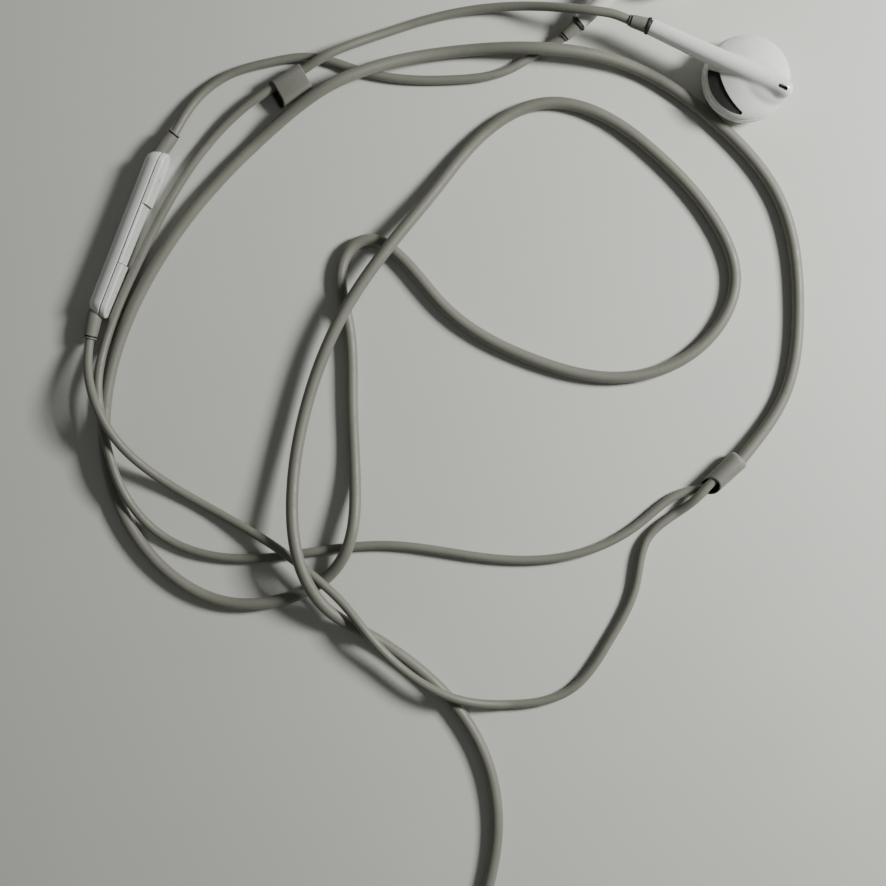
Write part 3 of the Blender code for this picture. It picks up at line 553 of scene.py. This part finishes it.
def add_table():
    mesh = bmesh.new()
    bmesh.ops.create_grid(mesh, x_segments=1, y_segments=1, size=2)
    data = bpy.data.meshes.new("table")
    mesh.to_mesh(data)
    mesh.free()
    data.materials.append(TABLE)
    table = bpy.data.objects.new("table", data)
    bpy.context.scene.collection.objects.link(table)


# Cord
def lengthened(points, at_start, at_end):
    """Runs a fine route straight on at its two ends, so that it reaches into the pieces there."""
    first = points[0] + (points[0] - points[2]) / np.linalg.norm(points[0] - points[2]) * at_start
    last = points[-1] + (points[-1] - points[-3]) / np.linalg.norm(points[-1] - points[-3]) * at_end
    return np.vstack([first[None], points, last[None]])


def add_cord(name, route, radius, start_reach, end_reach, replaces):
    """A jacketed cord along a route, held just clear of the table. Returns its piece and its fine points."""
    points = smooth_route(route)
    points[:, 2] = np.maximum(points[:, 2], radius + TABLE_GAP)
    points = lengthened(points, start_reach * MM, end_reach * MM)
    curve = bpy.data.curves.new(name, "CURVE")
    curve.dimensions = "3D"
    curve.bevel_depth = radius
    curve.bevel_resolution = 5
    curve.use_fill_caps = True
    spline = curve.splines.new("POLY")
    spline.points.add(len(points) - 1)
    spline.points.foreach_set("co", np.column_stack([points, np.ones(len(points))]).ravel())
    spline.use_smooth = True
    curve.materials.append(JACKET)
    obj = bpy.data.objects.new(name, curve)
    bpy.context.scene.collection.objects.link(obj)
    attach(obj, "earphones")
    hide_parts(*replaces)
    return obj, points


def coil_route():
    """The two neat turns of main cord, going clockwise and up from the coil's east side."""
    points = []
    for i in range(COIL_TURNS * COIL_POINTS_PER_TURN + 1):
        turn = i / COIL_POINTS_PER_TURN
        angle = -math.tau * turn
        x = COIL_CENTRE.x + COIL_RADIUS * math.cos(angle)
        y = COIL_CENTRE.y + COIL_RADIUS * math.sin(angle)
        points.append((x, y, COIL_START_HEIGHT + COIL_PITCH * turn))
    return points


def inside_split(depth, sideways, rise):
    """A point in the Y-split's mouth, in millimetres from its rim and to the back left of its axis."""
    inward = (SPLIT_UPPER - SPLIT_LOWER).normalized()
    across = Vector((-inward.y, inward.x, 0))
    return tuple(SPLIT_LOWER + (depth * inward + sideways * across + Vector((0, 0, rise))) * MM)


def add_cords():
    """The main cord with its coil, and the two branches, the right one in two parts beside the remote."""
    main, points = add_cord(
        "main_cord", MAIN_ROUTE + coil_route() + TAIL_ROUTE, MAIN_RADIUS, 0.9, 0.6,
        ("main_cable", "cable_coil", "plug_tail_cable"),
    )
    left_end = [inside_split(1.6, 0.3, -0.8)]
    left, points = add_cord(
        "left_cord", LEFT_ROUTE[::-1] + left_end, BRANCH_RADIUS, 0.5, 0.3, ("left_branch_cable",),
    )
    upper, points = add_cord(
        "right_upper_cord", RIGHT_UPPER_ROUTE[::-1], BRANCH_RADIUS, 0.5, 0.5, ("right_branch_upper_cable",),
    )
    lower_end = [inside_split(0.2, 0.45, 0.75), inside_split(2.0, 0.45, 0.8)]
    lower, points = add_cord(
        "right_lower_cord", RIGHT_LOWER_ROUTE[:0:-1] + lower_end, BRANCH_RADIUS, 0.5, 0.3,
        ("right_branch_lower_cable",),
    )


# Earpieces
def to_mesh(obj):
    """The object's mesh with its modifiers applied. The object is then removed."""
    depsgraph = bpy.context.evaluated_depsgraph_get()
    data = bpy.data.meshes.new_from_object(obj.evaluated_get(depsgraph))
    bpy.data.objects.remove(obj)
    return data


def helper(name, mesh):
    """A scratch object from a bmesh, for the steps that make the shell."""
    data = bpy.data.meshes.new(name)
    bmesh.ops.recalc_face_normals(mesh, faces=mesh.faces)
    mesh.to_mesh(data)
    mesh.free()
    obj = bpy.data.objects.new(name, data)
    bpy.context.scene.collection.objects.link(obj)
    return obj


def port_rows(inset, count=28):
    """Pairs of (x, y) points on the port's inner and outer edges, from its straight end to its tip."""
    outer = PORT_RADIUS - inset
    inner = PORT_INNER_RADIUS + inset
    centre_x = PORT_INNER_CENTRE * math.cos(PORT_AXIS)
    centre_y = PORT_INNER_CENTRE * math.sin(PORT_AXIS)
    side = PORT_SIDE + inset
    tip_x = outer * math.cos(PORT_TIP - inset / outer)
    first = math.asin((side - centre_y) / inner)
    last = math.acos((tip_x - centre_x) / inner)
    start = math.asin(side / outer)
    rows = []
    for i in range(count + 1):
        share = i / count
        low = first + share * (last - first)
        high = start + share * (PORT_TIP - inset / outer - start)
        near = (centre_x + inner * math.cos(low), centre_y + inner * math.sin(low))
        rows.append((near, (outer * math.cos(high), outer * math.sin(high))))
    return rows


def dome_height(radius):
    """The height of the dome's face at a radius."""
    radii, heights = zip(*sorted(smooth_profile(DOME[1:])))
    return float(np.interp(radius, radii, heights))


def shell_body():
    """The rear shell's outside in millimetres: dome and stem run together, with a ridge under the stem."""
    mesh = lathe([(0, 3.8), (7.8, 3.8)] + smooth_profile(DOME), 96)
    stem_profile = [(0, -8.62)] + smooth_profile([(0.35, -8.6), (1.05, -8.25), (1.5, -7.6), (1.75, -6.6)])
    stem_profile += [(1.88, 0), (1.84, 5), (1.53, STEM_END), (1.53, STEM_END + 1), (0, STEM_END + 1)]
    stem = lathe(stem_profile, 48)
    along = Matrix.Translation((0, 0, STEM_AXIS_HEIGHT)) @ Matrix.Rotation(math.pi / 2, 4, "Y")
    bmesh.ops.transform(stem, matrix=along, verts=stem.verts)
    ridge = bmesh.new()
    bmesh.ops.create_uvsphere(ridge, u_segments=32, v_segments=20, radius=1)
    stretch = Matrix.Translation(RIDGE_CENTRE) @ Matrix.Diagonal((*RIDGE_HALF_AXES, 1))
    bmesh.ops.transform(ridge, matrix=stretch, verts=ridge.verts)
    for extra in (stem, ridge):
        data = bpy.data.meshes.new("extra")
        extra.to_mesh(data)
        extra.free()
        mesh.from_mesh(data)
        bpy.data.meshes.remove(data)
    return mesh


def make_shell_data():
    """The hollow rear shell, with its vent slot, its port and the bore of its stem."""
    mesh = shell_body()
    bmesh.ops.scale(mesh, vec=(MM, MM, MM), verts=mesh.verts)
    body = helper("shell_body", mesh)
    remesh = body.modifiers.new("remesh", "REMESH")
    remesh.mode = "VOXEL"
    remesh.voxel_size = SHELL_VOXEL
    smooth = body.modifiers.new("smooth", "SMOOTH")
    smooth.factor = 0.5
    smooth.iterations = SHELL_SMOOTHING
    roof = smooth_profile([(6.3, 4.2), (6.15, 4.85), (5.7, 5.35), (4.8, 5.9), (3.4, 6.35), (1.7, 6.7)])
    cavity = [(0, 3.5), (6.3, 3.5), (6.3, 3.9), *roof, (0, 6.75)]
    bore = [(0, -7.2), (0.95, -7.2), (0.95, STEM_END - 0.55), (1.3, STEM_END - 0.5), (1.3, STEM_END)]
    bore_mesh = lathe(bore + [(4, STEM_END), (4, STEM_END + 3), (0, STEM_END + 3)], 40)
    along = Matrix.Translation((0, 0, STEM_AXIS_HEIGHT)) @ Matrix.Rotation(math.pi / 2, 4, "Y")
    bmesh.ops.transform(bore_mesh, matrix=along, verts=bore_mesh.verts)
    rows = port_rows(0)
    outline = [near for near, far in rows] + [far for near, far in reversed(rows)]
    slot_outline = [(VENT[0] + x, VENT[1] + y) for x, y in stadium(0.95, 0.36, 0, 10)]
    below_seam = [(0, 1), (10, 1), (10, SEAM_HEIGHT), (PLUG_IN_RADIUS, SEAM_HEIGHT)]
    below_seam += [(PLUG_IN_RADIUS, RIM_FOOT), (0, RIM_FOOT)]
    cutters = [
        lathe(cavity, 72), bore_mesh, loft([(outline, PORT_FLOOR), (outline, CUTTER_TOP)]),
        loft([(slot_outline, 7.4), (slot_outline, CUTTER_TOP)]), lathe(below_seam, 96),
    ]
    for i, cutter in enumerate(cutters):
        bmesh.ops.scale(cutter, vec=(MM, MM, MM), verts=cutter.verts)
        tool = helper(f"shell_cutter_{i}", cutter)
        cut = body.modifiers.new(tool.name, "BOOLEAN")
        cut.operation = "DIFFERENCE"
        cut.object = tool
    data = to_mesh(body)
    for i in range(len(cutters)):
        bpy.data.objects.remove(bpy.data.objects[f"shell_cutter_{i}"])
    data.materials.clear()
    return data


def mirrored(data):
    """The same mesh on the other side of the stem's plane."""
    mesh = bmesh.new()
    mesh.from_mesh(data)
    bmesh.ops.scale(mesh, vec=(1, -1, 1), verts=mesh.verts)
    bmesh.ops.reverse_faces(mesh, faces=mesh.faces)
    copy = bpy.data.meshes.new(data.name + "_mirrored")
    mesh.to_mesh(copy)
    mesh.free()
    return copy


def port_screen(mirror):
    """The dark screen in the port: a thin plate that follows the dome a little below its face."""
    mesh = bmesh.new()
    sheets = []
    shares = [i / 10 for i in range(11)]
    for depth in PORT_SCREEN_DEPTHS:
        sheet = []
        for near, far in port_rows(0.02):
            row = []
            for share in shares:
                x = near[0] + share * (far[0] - near[0])
                y = near[1] + share * (far[1] - near[1])
                row.append(mesh.verts.new((x, mirror * y, dome_height(math.hypot(x, y)) - depth)))
            sheet.append(row)
        sheets.append(sheet)
        for row, after in zip(sheet, sheet[1:]):
            for i in range(len(row) - 1):
                mesh.faces.new((row[i], row[i + 1], after[i + 1], after[i]))
    top, bottom = (
        [row[0] for row in sheet] + sheet[-1][1:] + [row[-1] for row in sheet[-2::-1]] + sheet[0][-2:0:-1]
        for sheet in sheets
    )
    for i in range(len(top)):
        j = (i + 1) % len(top)
        mesh.faces.new((top[i], top[j], bottom[j], bottom[i]))
    return mesh


def cap_profile():
    """The front cap's bowl: its flat lip meets the rear shell, and the sound opening has a rounded edge."""
    outside = smooth_profile([(4.1, 0.02), (5.5, 0.28), (6.9, 0.98), (7.8, 2.05), (8.16, 3.3), (8.12, 4.36)])
    inside = smooth_profile([(7.42, 4.3), (7.38, 3.3), (7.1, 2.4), (6.4, 1.5), (5.3, 0.95), (4.1, 0.72)])
    lip = [(8.08, SEAM_HEIGHT - 0.03), (7.48, SEAM_HEIGHT - 0.03)]
    mouth = round_edge(4.1, 0.37, 0.35, 90, 270, 8)
    return outside + lip + inside + mouth[1:-1]


def grille_profile():
    """A shallow dish of mesh in the sound opening."""
    face = [(0, 0.02), (2.0, 0.04), (3.2, 0.12), (3.6, 0.2), (3.68, 0.3)]
    return face + [(3.6, 0.42), (3.2, 0.4), (2.0, 0.32), (0, 0.3)]


def collar_profile():
    """The strain relief, and the numbers of the stretches of it that are its two dark rings of painted shade,
    at the stem's end and in the groove near the cord.
    """
    body = [(1.36, 0.62), (1.36, 0.9), (1.3, 1.5), (1.22, 2.6), (1.15, COLLAR_LENGTH - 0.5)]
    end = [(1.0, COLLAR_LENGTH - 0.46), (1.0, COLLAR_LENGTH - 0.2), (1.12, COLLAR_LENGTH - 0.16)]
    end += [(1.12, COLLAR_LENGTH - 0.06), (1.05, COLLAR_LENGTH), (0, COLLAR_LENGTH)]
    start = [(0, -0.75), (1.2, -0.75), (1.2, -0.12), (1.52, -0.1), (1.58, 0.0), (1.58, 0.42), (1.5, 0.5)]
    profile = start + body + end
    first_ring = range(1, len(start))
    second_ring = range(len(start) + len(body) - 1, len(start) + len(body) + 2)
    return profile, set(first_ring) | set(second_ring)


def add_earpiece(side, shell, head, heading, tilt, collar_bend):
    """One earpiece's visible pieces, ear side down, leaning and turned to where it lies."""
    mirror = -1 if side == "right_" else 1
    turn = Matrix.Rotation(math.radians(heading), 4, "Z")
    lean = Matrix.Rotation(math.radians(tilt), 4, "Y")
    place = Matrix.Translation(head) @ turn @ lean
    add_data(side + "outer_shell", shell, GLOSS, "earphones", place,
             [side + "rear_shell"], sharp=45)
    add_piece(side + "ear_cap", lathe(cap_profile(), 128), GLOSS, "earphones", place,
              [side + "front_cap"])
    add_piece(side + "sound_screen", lathe(grille_profile(), 72), SCREEN, "earphones", place,
              [side + "speaker_grille"])
    add_piece(side + "port_screen", port_screen(mirror), SCREEN, "earphones", place,
              [side + "port_mesh"])
    slot = [(VENT[0] + x, mirror * (VENT[1] + y)) for x, y in stadium(0.9, 0.31, 0, 8)]
    vent = loft([(slot, 7.9), (slot, 8.2), (slot, 8.25)])
    add_piece(side + "vent_screen", vent, SCREEN, "earphones", place, [side + "vent_mesh"])
    profile, dark = collar_profile()
    bend = Matrix.Rotation(math.radians(collar_bend), 4, "Z")
    along = Matrix.Rotation(math.pi / 2, 4, "Y")
    start = Vector((COLLAR_START, 0, STEM_AXIS_HEIGHT)) * MM
    # The two dark rings take painted shade.
    relief = lathe(profile, 64, dark)
    add_piece(side + "stem_relief", relief, [RELIEF, PAINTED_SHADE], "earphones",
              place @ Matrix.Translation(start) @ bend @ along, [side + "stem_collar"])


# Remote
def back_outline(share, wall, rounding=BACK_ROUNDING, power=BACK_POWER):
    """The back shell's outline at a share of its depth behind the seam."""
    inset = rounding * (1 - (1 - share**power) ** (1 / power))
    return stadium(REMOTE_HALF_LENGTH, REMOTE_HALF_WIDTH, wall + inset)


def remote_back():
    """The hollow back shell, from the middle of its back, over its rim and down to its floor."""
    sections = []
    for i in range(15):
        share = math.cos(math.pi / 2 * i / 15)
        sections.append((back_outline(share, 0), -share * REMOTE_DEPTH))
    sections.append((back_outline(0, 0), -0.1))
    sections.append((back_outline(0, 0.03), -0.03))
    sections.append((back_outline(0, 0.1), 0))
    sections.append((back_outline(0, REMOTE_WALL - 0.08), 0))
    sections.append((back_outline(0, REMOTE_WALL), -0.08))
    for share in (0.3, 0.6, 0.8, 0.92, 1):
        outline = back_outline(share, REMOTE_WALL, HOLLOW_ROUNDING, HOLLOW_POWER)
        sections.append((outline, -share * (REMOTE_DEPTH - REMOTE_WALL)))
    return loft(sections)


def key_outline(span, inset):
    """A stretch of the remote's slot-shaped front. Where two keys meet, the edges draw in less."""
    low, high = (limit + side * inset * KEY_JOINT_SHARE for limit, side in zip(span, (1, -1)))
    return [(min(max(x, low), high), y) for x, y in stadium(REMOTE_HALF_LENGTH, REMOTE_HALF_WIDTH, inset)]


def key_mesh(span, top, edge=0.32):
    """A key with a soft rolled edge and a slightly dished face."""
    sections = [(key_outline(span, 0.14), KEY_BASE), (key_outline(span, 0.05), KEY_BASE + 0.08)]
    for i in range(7):
        angle = math.pi / 2 * i / 6
        inset = 0.05 + edge * (1 - math.cos(angle))
        sections.append((key_outline(span, inset), top - edge * (1 - math.sin(angle))))
    sections.append((key_outline(span, 0.9), top - 0.03))
    sections.append((key_outline(span, 1.5), top - 0.06))
    return loft(sections)


def mark_mesh(upright):
    """A plus sign, or a minus sign where it has no upright bar."""
    arm, half = 0.62, 0.11
    if upright:
        outline = [
            (half, half), (arm, half), (arm, -half), (half, -half), (half, -arm), (-half, -arm),
            (-half, -half), (-arm, -half), (-arm, half), (-half, half), (-half, arm), (half, arm),
        ]
    else:
        outline = [(half, arm), (half, -arm), (-half, -arm), (-half, arm)]
    inner = [(x * 0.96, y * 0.96) for x, y in outline]
    return loft([(outline, -0.1), (outline, 0.0), (inner, 0.03)])


def collar_mesh(length):
    """A remote's collar, from inside the shell to the cord, with a thin ring of painted shade in its groove
    near its end.
    """
    root = [(0, -REMOTE_COLLAR_ROOT), (1.3, -REMOTE_COLLAR_ROOT)]
    profile = root + [(1.42, 0.0), (1.4, 0.4 * length), (1.26, length - 0.62)]
    profile += [(1.08, length - 0.58), (1.08, length - 0.34), (1.26, length - 0.3), (1.26, length - 0.1)]
    profile += [(1.15, length), (0, length)]
    return lathe(profile, 64, {4, 5, 6})


def add_remote():
    """The remote, on its long side with its keys facing sideways. Returns the pieces that its cords meet."""
    up = Vector((0, 0, 1))
    front = REMOTE_AXIS.cross(up)
    place = Matrix.Translation(REMOTE_SEAM) @ Matrix((REMOTE_AXIS, up, front)).transposed().to_4x4()
    back = add_piece("remote_shell", remote_back(), SATIN, "earphones", place,
                     ["remote_back_shell"])
    for name, (body, span) in KEYS.items():
        top = PLAY_KEY_TOP if name == "play_key" else KEY_TOP
        add_piece(name + "_cap", key_mesh(span, top), GLOSS, body, place, [name])
        if name != "play_key":
            middle = Vector((sum(span) / 2, 0, top - 0.045)) * MM
            add_piece(name + "_mark", mark_mesh(name == "volume_up_key"), MARKS, body,
                      place @ Matrix.Translation(middle))
    pieces = [back]
    for name, along, depth, cord_end, replaced in (
        ("remote_relief_upper", 16.9, -0.5, RIGHT_UPPER_ROUTE[0], "remote_collar_upper"),
        ("remote_relief_lower", -16.9, -0.9, RIGHT_LOWER_ROUTE[-1], "remote_collar_lower"),
    ):
        start = place @ (Vector((along, 0, depth)) * MM)
        reach = Vector(cord_end) - start
        mesh = collar_mesh(reach.length / MM)
        pieces.append(add_piece(name, mesh, [RELIEF, PAINTED_SHADE], "earphones",
                                facing(start, reach), [replaced]))
    return pieces


# Pieces on the cord
def add_split():
    """The Y-split: a soft sleeve that closes round the main cord and opens wide for the two branches."""
    length = (SPLIT_LOWER - SPLIT_UPPER).length / MM
    profile = [(0, 0.3), (1.12, 0.3), (1.16, 0.05), (1.3, 0.0), (1.62, 0.06), (1.9, 0.3), (2.03, 0.7)]
    profile += [(2.1, 1.4), (2.1, length - 0.5), (2.08, length - 0.12), (2.0, length), (1.86, length)]
    profile.append((1.78, length - 0.15))
    # From here on the faces line the mouth's inside and take painted shade.
    dark_from = len(profile) - 1
    profile += [(1.72, length - 1.0), (1.5, length - 3.2), (0, length - 3.4)]
    mesh = lathe(profile, 72, {dark_from, dark_from + 1, dark_from + 2})
    for vertex in mesh.verts:
        near_mouth = max(0, vertex.co.z - length + 2.4) / 2.4
        vertex.co.z -= SPLIT_SLANT * near_mouth * vertex.co.y
        vertex.co.x *= 1 - (1 - SPLIT_FLATNESS) * min(1, max(0, vertex.co.z / 2))
    return add_piece("split_sleeve", mesh, [RELIEF, PAINTED_SHADE], "earphones",
                     facing(SPLIT_UPPER, SPLIT_LOWER - SPLIT_UPPER), ["y_split_sleeve"])


def add_slider():
    """The flat ring on the left branch, with soft lips at both mouths."""
    back, front = Vector(SLIDER_BACK), Vector(SLIDER_FRONT)
    axis = (front - back).normalized()
    across = Vector((0, 0, 1)).cross(axis).normalized()
    centre = (back + front) / 2 - SLIDER_OFFSET * across
    place = Matrix.Translation(centre) @ Matrix((across, axis.cross(across), axis)).transposed().to_4x4()
    half_length, lip = SLIDER_LENGTH / 2, 0.16
    sections = []
    for side in (-1, 1):
        for i in range(9):
            angle = math.pi * i / 8
            inset = SLIDER_WALL / 2 + side * SLIDER_WALL / 2 * math.cos(angle)
            height = side * (half_length - lip + lip * math.sin(angle))
            sections.append((stadium(SLIDER_WIDTH / 2, SLIDER_THICKNESS / 2, inset), height))
    # Stretch 8 is the ring's inner wall, which takes painted shade.
    mesh = ring_loft(sections, {8})
    for vertex in mesh.verts:
        if vertex.co.z < 0:
            vertex.co.z += SLIDER_SLANT * vertex.co.y
    return add_piece("slider_ring", mesh, [RELIEF, PAINTED_SHADE], "slider", place, ["cable_slider"])


def plug_profile():
    """The plug's housing, with one fine groove, a rounded shoulder and the socket that the pin stands in."""
    body = [(0, 5.5), (1.9, 5.5), (2.1, 5.6), (2.3, 5.9), (2.5, 6.4), (2.6, 7.1), (2.6, 17.8), (2.52, 17.86)]
    body += [(2.52, 18.14), (2.6, 18.2), (2.6, PLUG_SHOULDER - 0.35), (2.52, PLUG_SHOULDER - 0.1)]
    body += [(2.36, PLUG_SHOULDER), (1.95, PLUG_SHOULDER), (1.88, PLUG_SHOULDER - 0.08)]
    return body + [(1.88, PLUG_SHOULDER - 1.1), (0, PLUG_SHOULDER - 1.1)]


def add_plug():
    """The plug: ribbed strain relief, housing with one fine groove, and a pin with four contacts."""
    place = facing(PLUG_START, PLUG_DIRECTION)
    relief = [(0, 0.0), (1.3, 0.0), (1.45, 0.12)]
    for i in range(5):
        at = 0.7 + 0.85 * i
        radius = 1.5 + 0.06 * i
        relief += [(radius, at), (radius - 0.16, at + 0.1)]
        relief += [(radius - 0.16, at + 0.3), (radius + 0.02, at + 0.4)]
    relief += [(1.8, 5.2), (1.8, 5.5), (0, 5.5)]
    pieces = [
        add_piece("plug_relief", lathe(relief, 64), RELIEF, "earphones", place,
                  ["plug_strain_relief"]),
        add_piece("plug_body", lathe(plug_profile(), 96), SATIN, "earphones", place,
                  ["plug_housing"]),
    ]
    at = PLUG_SHOULDER + 0.3
    flange = PIN_RADIUS - 0.03
    core = [(0, PLUG_SHOULDER - 0.8), (1.4, PLUG_SHOULDER - 0.8), (1.4, at - 0.05), (PIN_CORE, at - 0.05)]
    for name, length in PIN_CONTACTS.items():
        ring = [(PIN_BORE, at), (1.68, at), (PIN_RADIUS, at + 0.07), (PIN_RADIUS, at + length - 0.07)]
        ring += [(1.68, at + length), (PIN_BORE, at + length)]
        pieces.append(add_piece(name + "_turned", lathe(ring, 64), GOLD, "earphones", place,
                                [name]))
        at += length + PIN_PLAY
        core += [(PIN_CORE, at), (flange, at), (flange, at + PIN_FLANGE)]
        at += PIN_FLANGE
        core.append((PIN_CORE, at))
        at += PIN_PLAY
    core[-1] = (0, at - PIN_PLAY)
    pieces.append(add_piece("plug_core", lathe(core, 64), INSULATOR, "earphones", place,
                            ["plug_insulator"]))
    tip = [(0, 0), (1.68, 0), (PIN_RADIUS, 0.07), (PIN_RADIUS, 0.45)]
    tip += smooth_profile([(1.72, 0.55), (1.35, 1.15), (1.18, 1.6), (1.25, 2.0), (1.6, 2.45), (1.72, 2.75),
                           (1.6, 3.15), (1.2, 3.65), (0.6, 4.0), (0.1, 4.1)], 0.12)
    tip = [(radius, at + height) for radius, height in tip + [(0, 4.1)]]
    pieces.append(add_piece("plug_tip_turned", lathe(tip, 64), GOLD, "earphones", place,
                            ["plug_tip"]))
    return pieces


def rounded_rectangle(half_x, half_y, corner, steps=6):
    """A rounded rectangle's outline about the origin."""
    points = []
    for quarter, (x, y) in enumerate(((1, 1), (-1, 1), (-1, -1), (1, -1))):
        for i in range(steps + 1):
            angle = math.pi / 2 * (quarter + i / steps)
            points.append((x * (half_x - corner) + corner * math.cos(angle),
                           y * (half_y - corner) + corner * math.sin(angle)))
    return points


def add_tie():
    """A loop of tape round the coil's west side, with its free end laid over the outside."""
    low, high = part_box("coil_tie")
    centre = (low + high) / 2
    half_x, half_y = (high.x - low.x) / 2 / MM, (high.z - low.z) / 2 / MM
    half_width, thickness, edge = (high.y - low.y) / 2 / MM, 0.35, 0.08
    place = Matrix.Translation(centre) @ Matrix.Rotation(math.pi / 2, 4, "X")
    sections = []
    for inset, height in (
        (0, -half_width + edge), (0, half_width - edge), (edge, half_width), (thickness - edge, half_width),
        (thickness, half_width - edge), (thickness, -half_width + edge), (thickness - edge, -half_width),
        (edge, -half_width),
    ):
        outline = rounded_rectangle(half_x - inset, half_y - inset, 0.9 - inset)
        sections.append((outline, height))
    loop = add_piece("tie_loop", ring_loft(sections), TAPE, "earphones", place, ["coil_tie"])
    tab_outline = stadium(2.6, half_width - 0.1, 0, 12)
    tab_inner = stadium(2.55, half_width - 0.15, 0, 12)
    tab = loft([(tab_inner, 0.02), (tab_outline, 0.08), (tab_outline, 0.27), (tab_inner, 0.32)])
    up = Vector((0, 0, 1))
    out = Vector((-1, 0, 0))
    axes = Matrix((up, out.cross(up), out)).transposed().to_4x4()
    tab_place = Matrix.Translation((low.x, centre.y, centre.z + 0.2 * MM)) @ axes
    return [loop, add_piece("tie_end", tab, TAPE, "earphones", tab_place)]


def finish_inner_nodes():
    """The CAD pieces inside the shells keep their shapes and take these materials."""
    finishes = {
        "diaphragm": FILM, "voice_coil": COPPER, "driver_frame": DARK, "magnet": NICKEL, "pole_plate": STEEL,
        "yoke_cup": STEEL, "inner_lead": COPPER,
    }
    nodes = {side + name: finish for side in ("left_", "right_") for name, finish in finishes.items()}
    nodes.update({"remote_front_plate": DARK, "remote_board": BOARD, "microphone": NICKEL})
    nodes.update({f"dome_switch_{i}": STEEL for i in (1, 2, 3)})
    for name, finish in nodes.items():
        obj = frame["nodes"][name]
        obj.data.materials.clear()
        obj.data.materials.append(finish)


def main():
    add_camera()
    add_light()
    add_table()
    split = add_split()
    remote_pieces = add_remote()
    plug_pieces = add_plug() + add_tie()
    add_cords()
    add_slider()
    shell = make_shell_data()
    add_earpiece("left_", shell, LEFT_HEAD, LEFT_HEADING, LEFT_TILT, LEFT_COLLAR_BEND)
    add_earpiece("right_", mirrored(shell), RIGHT_HEAD, RIGHT_HEADING, RIGHT_TILT, RIGHT_COLLAR_BEND)
    finish_inner_nodes()


main()
